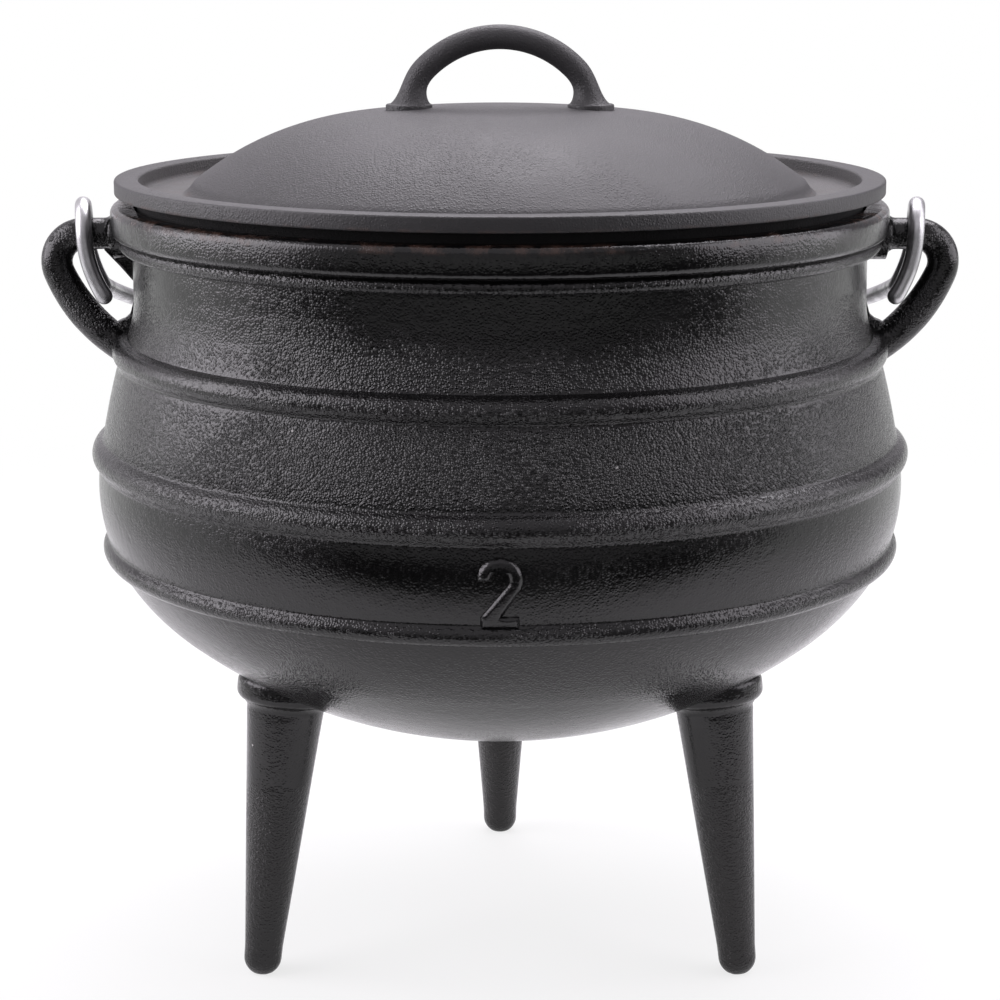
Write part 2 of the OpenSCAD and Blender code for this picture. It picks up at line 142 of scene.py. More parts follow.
def arc(centre, radius, start, end, steps):
    """Points on an arc about centre, from the angle start to the angle end in degrees."""
    points = []
    for i in range(steps + 1):
        angle = math.radians(start + (end - start) * i / steps)
        points.append((centre[0] + radius * math.cos(angle), centre[1] + radius * math.sin(angle)))
    return points


def tangent_arc(start, inward, end):
    """Radius, centre and end angle of the arc that leaves start square to inward and meets end."""
    chord = (end[0] - start[0], end[1] - start[1])
    radius = (chord[0] ** 2 + chord[1] ** 2) / (2 * (chord[0] * inward[0] + chord[1] * inward[1]))
    centre = (start[0] + radius * inward[0], start[1] + radius * inward[1])
    return radius, centre, math.degrees(math.atan2(end[1] - centre[1], end[0] - centre[0]))


def bowed(low, high, bow, share_up):
    """Radius of a bowed wall at a share of its height."""
    return low + (high - low) * share_up + 4 * bow * share_up * (1 - share_up)


def soft_max(a, b, softness):
    """The larger of a and b, with a round hollow where they meet."""
    overlap = max(softness - abs(a - b), 0) / softness
    return max(a, b) + overlap * overlap * softness / 4


def heights(stops):
    """Heights between stops, where each stop is (height, step up to the next stop)."""
    rows = []
    for (low, step), (high, _) in zip(stops, stops[1:]):
        count = max(1, round((high - low) / step))
        rows += [low + (high - low) * i / count for i in range(count)]
    return rows + [stops[-1][0]]


# The pot's section, in millimetres. Lengths that a user would rarely change are named here.
LOW_NARROWING, TOP_NARROWING, NECK_NARROWING = 2.4, 6.8, 11.0
LOW_BOW, TOP_BOW = 2.1, 0.5
BAND_PROUD, BAND_GAP = 2.7, 0.2
BAND_RADII = {"low": 3.0, "middle": 4.2, "shoulder": 3.9}
LOW_FILLET_SHARE = 0.5
BEAD_R, BEAD_PROUD, BEAD_Z = 2.2, 4.0, 216.5
COLLAR_Z, RIM_Z, COLLAR_PROUD, COLLAR_ROUND = 218.6, 227.6, 6.1, 2.2
FLANK_ANGLE, FLANK_IN = 27.8, 1.0
COLLAR_CORNER = (0.5, 0.06)
RIM_W, MOUTH_STEP, MOUTH_ROUND, MOUTH_CHAMFER = 6.9, 6.0, 0.8, 0.6
MOUTH_TAPER = (1.45, 1.6)
NECK_HOLLOW_H, NECK_HOLLOW_SHORT, NECK_HOLLOW_SUNK = 11.4, 1.8, 2.0
# Steps of height along the wall: fine at the bands and the bead, coarse between them
BAND_STEP, WALL_STEP, HOLLOW_STEP, NECK_STEP, BEAD_STEP = 0.45, 2.2, 1.6, 2.4, 0.35
INSIDE_STEP = 5.0
REVOLVE_STEPS = 300
SWAY_SCALE = 26.0
SHARP_DEGREES = 44


class PotSection:
    """The pot's outline, worked out from the shape's sizes, in millimetres."""

    def __init__(self, shape):
        self.low_z = shape.low_z / MM
        self.middle_z = shape.middle_z / MM
        self.shoulder_z = shape.shoulder_z / MM
        self.body_r = shape.body_r / MM
        self.knuckle_r = shape.knuckle_r / MM
        self.belly_lift = shape.belly_lift / MM
        self.wall = shape.wall / MM
        self.fillet = shape.band_fillet / MM
        self.low_r = self.body_r - LOW_NARROWING
        self.shoulder_r = self.body_r - TOP_NARROWING
        self.neck_r = self.body_r - NECK_NARROWING
        self.collar_r = self.neck_r + COLLAR_PROUD
        self.neck_base_z = self.shoulder_z + BAND_RADII["shoulder"] + BAND_GAP
        flank = math.radians(FLANK_ANGLE)
        start_z = self.low_z - BAND_RADII["low"] - BAND_GAP
        self.knuckle_c = (
            self.low_r - FLANK_IN - self.knuckle_r * math.cos(flank),
            start_z + self.knuckle_r * math.sin(flank),
        )
        drop = self.belly_lift - self.knuckle_c[1]
        self.bottom_r = (self.knuckle_r**2 - self.knuckle_c[0] ** 2 - drop**2) / (
            2 * (drop + self.knuckle_r)
        )
        self.bottom_c = (0.0, self.belly_lift + self.bottom_r)
        self.bottom_angle = math.degrees(
            math.atan2(self.knuckle_c[1] - self.bottom_c[1], self.knuckle_c[0])
        )

    def wall_r(self, z):
        """Radius of the wall without its bands, from the low band up to the neck."""
        if z < self.low_z:
            drop = self.knuckle_c[1] - z
            return self.knuckle_c[0] + math.sqrt(max(self.knuckle_r**2 - drop * drop, 0))
        if z < self.middle_z:
            share_up = (z - self.low_z) / (self.middle_z - self.low_z)
            return bowed(self.low_r, self.body_r, LOW_BOW, share_up)
        if z < self.shoulder_z:
            share_up = (z - self.middle_z) / (self.shoulder_z - self.middle_z)
            return bowed(self.body_r, self.shoulder_r, TOP_BOW, share_up)
        if z < self.neck_base_z + NECK_HOLLOW_H:
            spread = self.shoulder_r - self.neck_r - NECK_HOLLOW_SHORT
            hollow_r = (NECK_HOLLOW_H**2 + spread**2) / (2 * spread)
            lowest = self.neck_base_z - NECK_HOLLOW_SUNK
            rise = self.neck_base_z + NECK_HOLLOW_H - max(z, lowest)
            return self.neck_r + hollow_r - math.sqrt(hollow_r**2 - min(rise, hollow_r) ** 2)
        return self.neck_r

    def skin_r(self, z):
        """Radius of the wall with its bands and bead."""
        radius = self.wall_r(z)
        low_fillet = self.fillet * LOW_FILLET_SHARE
        bands = [
            (self.low_z, self.low_r, BAND_RADII["low"], BAND_PROUD, low_fillet),
            (self.middle_z, self.body_r, BAND_RADII["middle"], BAND_PROUD, self.fillet),
            (self.shoulder_z, self.shoulder_r, BAND_RADII["shoulder"], BAND_PROUD, self.fillet),
            (BEAD_Z, self.neck_r, BEAD_R, BEAD_PROUD, self.fillet),
        ]
        for band_z, wall_r, band_r, proud, fillet in bands:
            offset = abs(z - band_z)
            if offset < band_r:
                band = wall_r + proud - band_r + math.sqrt(band_r**2 - offset**2)
                radius = soft_max(radius, band, fillet)
        return radius

    def outside(self):
        """Points from the lowest point of the belly up to the mouth's edge."""
        belly = arc(self.bottom_c, self.bottom_r, -90, self.bottom_angle, 20)
        belly += arc(self.knuckle_c, self.knuckle_r, self.bottom_angle, -FLANK_ANGLE, 26)[1:]
        # The rows grow finer just below each band and coarser just above it
        rows = heights(
            [
                (self.low_z - 3.3, BAND_STEP),
                (self.low_z + 4.0, WALL_STEP),
                (self.middle_z - 5.0, BAND_STEP),
                (self.middle_z + 5.0, WALL_STEP),
                (self.shoulder_z - 4.8, BAND_STEP),
                (self.shoulder_z + 5.0, HOLLOW_STEP),
                (BEAD_Z - 14.0, NECK_STEP),
                (BEAD_Z - 3.0, BEAD_STEP),
                (COLLAR_Z - BEAD_STEP, BEAD_STEP),
            ]
        )
        side = [(self.skin_r(z), z) for z in rows]
        edge = self.collar_r - COLLAR_ROUND
        collar = [(side[-1][0] + COLLAR_CORNER[0], COLLAR_Z - COLLAR_CORNER[1])]
        collar += arc((edge, COLLAR_Z + COLLAR_ROUND), COLLAR_ROUND, -88, 0, 6)
        collar += arc((edge, RIM_Z - COLLAR_ROUND), COLLAR_ROUND, 0, 90, 6)
        return belly + side + collar

    def inside(self):
        """Points from the mouth's edge down to the middle of the inside's bottom."""
        mouth_r = self.collar_r - RIM_W
        neck = self.neck_r - self.wall
        edge = (mouth_r + MOUTH_ROUND, RIM_Z - MOUTH_ROUND)
        step_z = RIM_Z - MOUTH_STEP
        mouth = [(edge[0], RIM_Z)] + arc(edge, MOUTH_ROUND, 90, 180, 3)
        mouth += [(mouth_r, step_z + MOUTH_CHAMFER), (mouth_r - MOUTH_CHAMFER, step_z)]
        for inset, depth in zip((MOUTH_CHAMFER, 0), MOUTH_TAPER):
            mouth.append((neck + inset, RIM_Z - depth * MOUTH_STEP))
        top_z = self.neck_base_z + NECK_HOLLOW_H
        rows = heights([(self.low_z - 2.5, INSIDE_STEP), (top_z, INSIDE_STEP)])
        side = [(self.wall_r(z) - self.wall, z) for z in reversed(rows)]
        belly = arc(
            self.knuckle_c, self.knuckle_r - self.wall, -FLANK_ANGLE - 1, self.bottom_angle, 14
        )
        belly += arc(self.bottom_c, self.bottom_r - self.wall, self.bottom_angle, -90, 8)[1:]
        return mouth + side + belly


# Meshes


def new_piece(name, bm):
    """Makes an object of a bmesh whose points are in millimetres."""
    bmesh.ops.recalc_face_normals(bm, faces=bm.faces)
    bmesh.ops.scale(bm, vec=(MM, MM, MM), verts=bm.verts)
    mesh_data = bpy.data.meshes.new(name)
    bm.to_mesh(mesh_data)
    bm.free()
    piece = bpy.data.objects.new(name, mesh_data)
    bpy.context.scene.collection.objects.link(piece)
    return piece


def turns(count):
    """Angles of the points of a ring."""
    return [2 * math.pi * i / count for i in range(count)]


def revolve(bm, section, steps, place=Matrix.Identity(4)):
    """Turns a section about the Z axis. Its end points on the axis become poles."""
    rings = []
    for radius, z in section:
        if radius < 1e-6:
            rings.append([bm.verts.new(place @ Vector((0, 0, z)))])
            continue
        ring = []
        for a in turns(steps):
            point = Vector((radius * math.cos(a), radius * math.sin(a), z))
            ring.append(bm.verts.new(place @ point))
        rings.append(ring)
    join_rings(bm, rings)


def join_rings(bm, rings):
    """Faces between rings that follow each other. A ring of one point is a pole."""
    for first, second in zip(rings, rings[1:]):
        count = max(len(first), len(second))
        for i in range(count):
            j = (i + 1) % count
            corners = [first[i % len(first)], first[j % len(first)]]
            corners += [second[j % len(second)], second[i % len(second)]]
            bm.faces.new(list(dict.fromkeys(corners)))


def sweep(bm, path, radii, sides, upright=None):
    """A round bar along path. Its rings keep the twist of the path, and its ends are closed.

    Upright gives for each point how far its ring is laid level, from 0 to 1.
    """
    rings = []
    count = len(path)
    way = (path[1] - path[0]).normalized()
    across = way.orthogonal().normalized()
    for i, point in enumerate(path):
        before, after = path[max(i - 1, 0)], path[min(i + 1, count - 1)]
        turned = (after - before).normalized()
        if upright and upright[i] > 0:
            level = Vector((0, 0, 1 if turned.z > 0 else -1))
            turned = turned.lerp(level, upright[i]).normalized()
        across = (across - across.dot(turned) * turned).normalized()
        up = turned.cross(across)
        ring = []
        for a in turns(sides):
            ring.append(bm.verts.new(point + radii[i] * (math.cos(a) * across + math.sin(a) * up)))
        rings.append(ring)
    join_rings(bm, rings)
    bm.faces.new(list(reversed(rings[0])))
    bm.faces.new(rings[-1])


def unite(piece, others):
    """Fuses closed meshes into one, and removes the others."""
    for other in others:
        cut = piece.modifiers.new("Fuse", "BOOLEAN")
        cut.operation = "UNION"
        cut.solver = "MANIFOLD"
        cut.object = other
    bpy.context.view_layer.update()
    seen = piece.evaluated_get(bpy.context.evaluated_depsgraph_get())
    fused = bpy.data.meshes.new_from_object(seen)
    old = piece.data
    piece.modifiers.clear()
    piece.data = fused
    fused.name = old.name
    bpy.data.meshes.remove(old)
    for other in others:
        data = other.data
        bpy.data.objects.remove(other)
        bpy.data.meshes.remove(data)


def sway(piece, height, scale):
    """Moves points slightly inwards by a slow noise, as on a sand casting."""
    for vertex in piece.data.vertices:
        place = vertex.co / MM
        out = Vector((place.x, place.y, 0))
        if out.length < 1:
            continue
        amount = 0.5 + 0.5 * noise.noise(place / scale)
        vertex.co -= out.normalized() * (height * amount)


def flare(distance, fillet):
    """Growth of a bar's radius at a distance from the wall that it meets with a fillet."""
    if distance >= fillet:
        return 0.0
    return fillet - math.sqrt(fillet**2 - (fillet - max(distance, 0)) ** 2)


# Ears
EAR_REACH, EAR_BAR_R, EAR_BEND_R, EAR_TURN = 22.17, 4.68, 8.5, 113.0
EAR_Z = SWING["pos_m"][2] / MM
EAR_SUNK, ARM_STEPS, LIMB_STEPS = 1.0, 25, 80
LIMB_BAR_R, LIMB_IN, LIMB_DROP, LIMB_WIDENING = 5.0, 5.0, 4.0, 2.5
EAR_ROOT_FILLET, LIMB_ROOT_FILLET, LIMB_ROOT_DEPTH, LIMB_ROOT_GROWTH = 3.0, 4.0, 7.0, 0.1
# Outlines of plates inside an ear, by distance from the axis and height, with their width.
# The mould left a thin web under the left ear's arm, and a fillet fills each lower corner.
WEB_W, WEB_ROUND, FILLET_W, FILLET_ROUND = 3.6, 0.8, 7.0, 2.2
WEB = (
    (118.6, 214.5), (117.9, 212.6), (113.6, 207.9), (109.9, 203.7), (106.0, 201.0), (106.0, 214.5),
)
CORNER = (
    (112.0, 186.0), (106.0, 186.0), (106.0, 198.4), (109.2, 198.4), (109.9, 195.6),
    (111.1, 193.4), (112.8, 192.0), (114.6, 191.3), (116.6, 190.0),
)


def ear_path(section):
    """Points and bar radii along an ear, from inside the collar to inside the shoulder."""
    bend_x = section.collar_r + EAR_REACH - EAR_BEND_R - EAR_BAR_R
    out = math.radians(90 - EAR_TURN)
    start = (
        bend_x + EAR_BEND_R * math.cos(out),
        EAR_Z - EAR_BEND_R + EAR_BEND_R * math.sin(out),
    )
    end = (section.shoulder_r - LIMB_IN, section.shoulder_z - LIMB_DROP)
    inward = (-math.cos(out), -math.sin(out))
    limb_r, centre, end_angle = tangent_arc(start, inward, end)
    path, radii = [], []
    arm_start = section.neck_r - EAR_SUNK
    for i in range(ARM_STEPS):
        x = arm_start + (bend_x - arm_start) * i / ARM_STEPS
        path.append((x, EAR_Z))
        radii.append(EAR_BAR_R + flare(x - section.collar_r, EAR_ROOT_FILLET))
    for point in arc((bend_x, EAR_Z - EAR_BEND_R), EAR_BEND_R, 90, 90 - EAR_TURN, 16)[:-1]:
        path.append(point)
        radii.append(EAR_BAR_R)
    limb = arc(centre, limb_r, 90 - EAR_TURN, end_angle, LIMB_STEPS)
    limb_length = limb_r * math.radians(90 - EAR_TURN - end_angle)
    for i, (x, z) in enumerate(limb):
        along = i / LIMB_STEPS
        left = limb_length * (1 - along) - LIMB_ROOT_DEPTH
        grown = min(flare(left, LIMB_ROOT_FILLET), LIMB_ROOT_GROWTH)
        widened = min(1, along * LIMB_WIDENING)
        radii.append(EAR_BAR_R + (LIMB_BAR_R - EAR_BAR_R) * widened + grown)
        # The root grows on the window's side only
        shift = grown / limb_r
        path.append((x + (centre[0] - x) * shift, z + (centre[1] - z) * shift))
    return path, radii


def make_ear(section, side):
    """One ear on the given side, 1 or -1, as a closed bar."""
    path, radii = ear_path(section)
    bm = bmesh.new()
    sweep(bm, [Vector((side * x, 0, z)) for x, z in path], radii, 40)
    return new_piece("ear_bar", bm)


def make_plate(outline, width, side, round_r):
    """A plate in an ear's plane, with its edges rounded."""
    bm = bmesh.new()
    middle = Vector((sum(p[0] for p in outline), sum(p[1] for p in outline))) / len(outline)
    rings = []
    for angle in (-90, -60, -30, 0, 30, 60, 90):
        inset = round_r * (1 - math.cos(math.radians(angle)))
        flat = (width / 2 - round_r) * ((angle > 0) - (angle < 0))
        y = flat + round_r * math.sin(math.radians(angle))
        ring = []
        for point in outline:
            inward = (middle - Vector(point)).normalized() * inset
            x, z = point[0] + inward.x, point[1] + inward.y
            ring.append(bm.verts.new(Vector((side * x, y, z))))
        rings.append(ring)
    join_rings(bm, rings)
    bm.faces.new(rings[0])
    bm.faces.new(list(reversed(rings[-1])))
    return new_piece("ear_plate", bm)


# Legs
FOOT_PITCH_R, LEG_PITCH_R = 82.3, 72.4
LEG_FOOT_R, LEG_TOP_R = 5.4, 11.6
FOOT_BALL_R, FOOT_BALL_LIFT = 5.6, 4.7
BOSS_R, BOSS_H, BOSS_ROUND, BOSS_SHARE_ABOVE = 14.7, 8.0, 2.8, 0.36
LEG_FILLET, LEG_FILLET_TUCK, LEG_FILLET_FROM, LEG_FILLET_TO = 2.4, 0.2, 3.0, 0.6
LEG_TURNS = (-30, 90, 210)


def make_leg(section, turn):
    """One tapered leg with its boss, its round foot cut flat on the ground."""
    rise = LEG_PITCH_R - section.knuckle_c[0]
    meet_z = section.knuckle_c[1] - math.sqrt(section.knuckle_r**2 - rise**2)
    lean = math.atan((FOOT_PITCH_R - LEG_PITCH_R) / (meet_z - FOOT_BALL_LIFT))
    leg_l = (meet_z - FOOT_BALL_LIFT) / math.cos(lean)
    boss_top = leg_l + BOSS_SHARE_ABOVE * BOSS_H
    boss_low = boss_top - BOSS_H
    slope = (LEG_TOP_R - LEG_FOOT_R) / boss_low
    outline = [(0, -FOOT_BALL_R)] + arc((0, 0), FOOT_BALL_R, -80, -4, 10)
    steps = 20
    for i in range(1, steps):
        z = (boss_low - LEG_FILLET_FROM) * i / steps
        outline.append((LEG_FOOT_R + slope * z, z))
    for z in heights([(boss_low - LEG_FILLET_FROM, 0.5), (boss_low - LEG_FILLET_TO, 1)]):
        outline.append((LEG_TOP_R - LEG_FILLET_TUCK + flare(boss_low - z, LEG_FILLET), z))
    outline += arc((BOSS_R - BOSS_ROUND, boss_low + BOSS_ROUND), BOSS_ROUND, -75, 0, 8)
    outline += arc((BOSS_R - BOSS_ROUND, boss_top - BOSS_ROUND), BOSS_ROUND, 0, 84, 8)
    outline += [(0, boss_top)]
    bm = bmesh.new()
    place = (
        Matrix.Rotation(math.radians(turn), 4, "Z")
        @ Matrix.Translation((FOOT_PITCH_R, 0, FOOT_BALL_LIFT))
        @ Matrix.Rotation(-lean, 4, "Y")
    )
    revolve(bm, outline, 56, place)
    for vertex in bm.verts:
        vertex.co.z = max(vertex.co.z, 0.0)
    return new_piece("leg_cone", bm)


# Raised number
NUMBER_H, NUMBER_W, NUMBER_STROKE, NUMBER_LIFT = 19.2, 11.4, 3.0, 2.4
NUMBER_EDGE, NUMBER_TIP, NUMBER_LEG, NUMBER_FOOT_IN = 1.0, 180, -30, 0.9
NUMBER_SPACING = 1.2
# The number's foot, as how far each ring is moved in and how far it stands out of the wall, and
# the rounding above it, in shares of the edge's width and of the number's height
NUMBER_FOOT = ((-0.35, -2.0), (-0.35, -0.1), (0.0, 0.32))
NUMBER_ROUND = ((0.4, 0.72), (0.7, 0.93), (1.0, 1.0))


def number_outline():
    """The outline of a plain 2, with its foot at height 0 and its middle at 0."""
    bowl_r = NUMBER_W / 2
    hole_r = bowl_r - NUMBER_STROKE
    bowl = (0, NUMBER_H - bowl_r)
    outline = arc(bowl, bowl_r, NUMBER_TIP, NUMBER_LEG, 26)
    foot = bowl_r - NUMBER_FOOT_IN
    outline += [(0, NUMBER_STROKE), (foot, NUMBER_STROKE), (foot, 0)]
    outline += [(-foot, 0), (-foot, NUMBER_STROKE)]
    outline += arc(bowl, hole_r, NUMBER_LEG, NUMBER_TIP, 18)
    return dense_outline(outline, NUMBER_SPACING)


def dense_outline(outline, step):
    """Splits the long edges of a closed outline."""
    points = []
    for a, b in zip(outline, outline[1:] + outline[:1]):
        count = max(1, math.ceil(math.dist(a, b) / step))
        for i in range(count):
            points.append((a[0] + (b[0] - a[0]) * i / count, a[1] + (b[1] - a[1]) * i / count))
    return points


def moved_in(outline, amount):
    """A closed clockwise outline moved in by a small amount."""
    moved = []
    count = len(outline)
    for i in range(count):
        before, here, after = outline[i - 1], outline[i], outline[(i + 1) % count]
        way = Vector((after[0] - before[0], after[1] - before[1])).normalized()
        moved.append((here[0] + way.y * amount, here[1] - way.x * amount))
    return moved


def make_number(section, proud):
    """The raised number on the front, which follows the wall's curve."""
    outline = number_outline()
    rings = []
    bm = bmesh.new()
    levels = [(NUMBER_EDGE * inset, proud * lift) for inset, lift in NUMBER_ROUND]
    for inset, lift in (*NUMBER_FOOT, *levels):
        ring = []
        for x, z in moved_in(outline, inset):
            height = section.low_z + NUMBER_LIFT + z
            radius = section.wall_r(height) + lift
            ring.append(bm.verts.new(Vector((x, -math.sqrt(radius**2 - x**2), height))))
        rings.append(ring)
    join_rings(bm, rings)
    flat = [Vector((x, z, 0)) for x, z in outline]
    for ring in (rings[0], rings[-1]):
        for corners in tessellate_polygon([flat]):
            bm.faces.new([ring[i] for i in corners])
    return new_piece("number_relief", bm)


# Lid
LID_SET_IN, LID_EDGE_H, LID_EDGE_GAP, LID_RIM_W = 1.5, 4.4, 3.1, 7.1
GUTTER_DEPTH, GUTTER_W, DOME_RISE = 4.8, 12.0, 24.9
CROWN_R, CROWN_ANGLE, LID_WALL, DOME_FOOT_EASE = 430.0, 5.6, 4.5, 3.2
DOME_FOOT_ROUND, GUTTER_ROUND, LID_EDGE_ROUND = 5.0, 1.6, 0.7
SPIGOT_W, SPIGOT_PLAY, SPIGOT_CHAMFER, SPIGOT_TAPER, SEAT_GAP = 5.0, 1.0, 1.0, 1.5, 0.2
HANDLE_BAR_R, HANDLE_LOOP_R, HANDLE_SINK = 3.6, 31.0, 11.0
HANDLE_DRAW_IN, HANDLE_DRAW_FROM, HANDLE_DRAW_H = 2.4, 22.0, 12.0
PAD_X, PAD_R, PAD_EDGE_H, PAD_SUNK, PAD_ROUND, PAD_CROWN = 26.8, 6.9, 1.4, 2.0, 0.6, 0.1
PAD_FLARE_H, PAD_FLARE_LIFT, PAD_FLARE_MOST, PAD_FLARE = 7.5, 0.9, 5.6, 0.52
PAD_LEVEL_LIFT, PAD_LEVEL_H = 1.5, 7.0


class LidSection:
    """The lid's outline, worked out from the pot's, in millimetres."""

    def __init__(self, pot):
        self.edge_z = RIM_Z + LID_EDGE_GAP
        self.top_z = self.edge_z + LID_EDGE_H
        self.foot_z = RIM_Z - MOUTH_STEP + SEAT_GAP
        self.lid_r = pot.collar_r - LID_SET_IN
        self.spigot_r = pot.collar_r - RIM_W - SPIGOT_PLAY
        self.gutter_r = self.lid_r - LID_RIM_W
        self.gutter_z = self.top_z - GUTTER_DEPTH
        self.dome_top_z = self.gutter_z + DOME_RISE
        self.foot_r = self.gutter_r - GUTTER_W
        crown = math.radians(CROWN_ANGLE)
        self.crown_c = (0.0, self.dome_top_z - CROWN_R)
        edge = (CROWN_R * math.sin(crown), self.crown_c[1] + CROWN_R * math.cos(crown))
        inward = (-math.sin(crown), -math.cos(crown))
        foot = (self.foot_r, self.gutter_z)
        self.dome_r, self.dome_c, self.foot_angle = tangent_arc(edge, inward, foot)

    def dome(self, inset, steps, foot_angle):
        """Points from the dome's top down to its foot."""
        crown_end = 90 - CROWN_ANGLE
        crown = arc(self.crown_c, CROWN_R - inset, 90, crown_end, steps // 2)
        return crown + arc(self.dome_c, self.dome_r - inset, crown_end, foot_angle, steps)[1:]

    def dome_z(self, radius):
        """Height of the dome's outside on its crown."""
        return self.crown_c[1] + math.sqrt(CROWN_R**2 - radius**2)

    def outline(self):
        """The whole section, from the dome's top round the rim to the underside's middle."""
        dome = self.dome(0, 36, self.foot_angle + DOME_FOOT_EASE)
        slope = 90 - (self.foot_angle + DOME_FOOT_EASE)
        last = dome[-1]
        foot_c = (
            last[0] + DOME_FOOT_ROUND * math.sin(math.radians(slope)),
            last[1] + DOME_FOOT_ROUND * math.cos(math.radians(slope)),
        )
        foot = arc(foot_c, DOME_FOOT_ROUND, 270 - slope, 270, 8)[1:]
        drop = foot[-1][1] - self.gutter_z
        foot = [(r, z - drop * (i + 1) / len(foot)) for i, (r, z) in enumerate(foot)]
        corner = (self.gutter_r - GUTTER_ROUND, self.gutter_z + GUTTER_ROUND)
        rim = arc(corner, GUTTER_ROUND, -90, 0, 6)
        edge = LID_EDGE_ROUND
        rim += arc((self.gutter_r + edge, self.top_z - edge), edge, 180, 90, 5)
        rim += arc((self.lid_r - edge, self.top_z - edge), edge, 90, 0, 5)
        rim += arc((self.lid_r - edge, self.edge_z + edge), edge, 0, -90, 5)
        spigot = [
            (self.spigot_r, self.edge_z),
            (self.spigot_r, self.foot_z + SPIGOT_CHAMFER),
            (self.spigot_r - SPIGOT_CHAMFER, self.foot_z),
            (self.spigot_r - SPIGOT_W, self.foot_z),
            (self.spigot_r - SPIGOT_TAPER * SPIGOT_W, self.gutter_z - LID_WALL),
        ]
        inside = list(reversed(self.dome(LID_WALL, 16, self.foot_angle)))
        return dome + foot + rim + spigot + inside


def smooth(value):
    """A smooth step from 0 to 1."""
    value = min(max(value, 0.0), 1.0)
    return value * value * (3 - 2 * value)


def make_handle(lid):
    """The loop handle's bar, which draws in and widens like a trumpet towards its two pads."""
    centre_z = lid.dome_top_z - HANDLE_SINK
    foot = math.degrees(math.asin((lid.dome_z(PAD_X) - PAD_SUNK - centre_z) / HANDLE_LOOP_R))
    path, radii, upright = [], [], []
    for x, z in arc((0, centre_z), HANDLE_LOOP_R, foot, 180 - foot, 110):
        drawn = HANDLE_DRAW_IN * smooth((HANDLE_DRAW_FROM - (z - centre_z)) / HANDLE_DRAW_H)
        path.append(Vector((x - math.copysign(drawn, x), 0, z)))
        above = z - lid.dome_z(abs(x))
        widened = min(flare(above - PAD_FLARE_LIFT, PAD_FLARE_H), PAD_FLARE_MOST)
        radii.append(HANDLE_BAR_R + widened * PAD_FLARE)
        upright.append(1 - smooth((above - PAD_LEVEL_LIFT) / PAD_LEVEL_H))
    bm = bmesh.new()
    sweep(bm, path, radii, 40, upright)
    return new_piece("handle_bar", bm)


def make_pad(lid, side):
    """The round pad under one end of the handle."""
    corner = (PAD_R - PAD_ROUND, PAD_EDGE_H - PAD_ROUND)
    outline = [(0, -PAD_SUNK), (PAD_R, -PAD_SUNK), (PAD_R, corner[1])]
    outline += arc(corner, PAD_ROUND, 0, 80, 5) + [(0, PAD_EDGE_H + PAD_CROWN)]
    bm = bmesh.new()
    revolve(bm, outline, 48, Matrix.Translation((side * PAD_X, 0, lid.dome_z(PAD_X))))
    return new_piece("pad_disc", bm)


# Bail
HOOK_FROM_EDGE, HOOK_PLAY, HOOK_LEAN, HOOK_TURN = 13.4, 1.5, 2.0, 7.0
LEG_BEND_R, FREE_LEG_ANGLE, HOOP_LEG_ANGLE = 36.0, 31.5, 21.0
HOOP_BEND_R, HOOP_DROOP, BAIL_GAP = 6.0, 16.5, 0.77
TIP_R, TIP_SWELL, TIP_SWELL_POINTS, TIP_TURN, TIP_STEPS = 2.6, 0.12, 3, 12, 7
FREE_STEPS, HOOK_STEPS, DOWN_STEPS, BEND_STEPS, HOOP_STEPS = 16, 28, 8, 12, 150


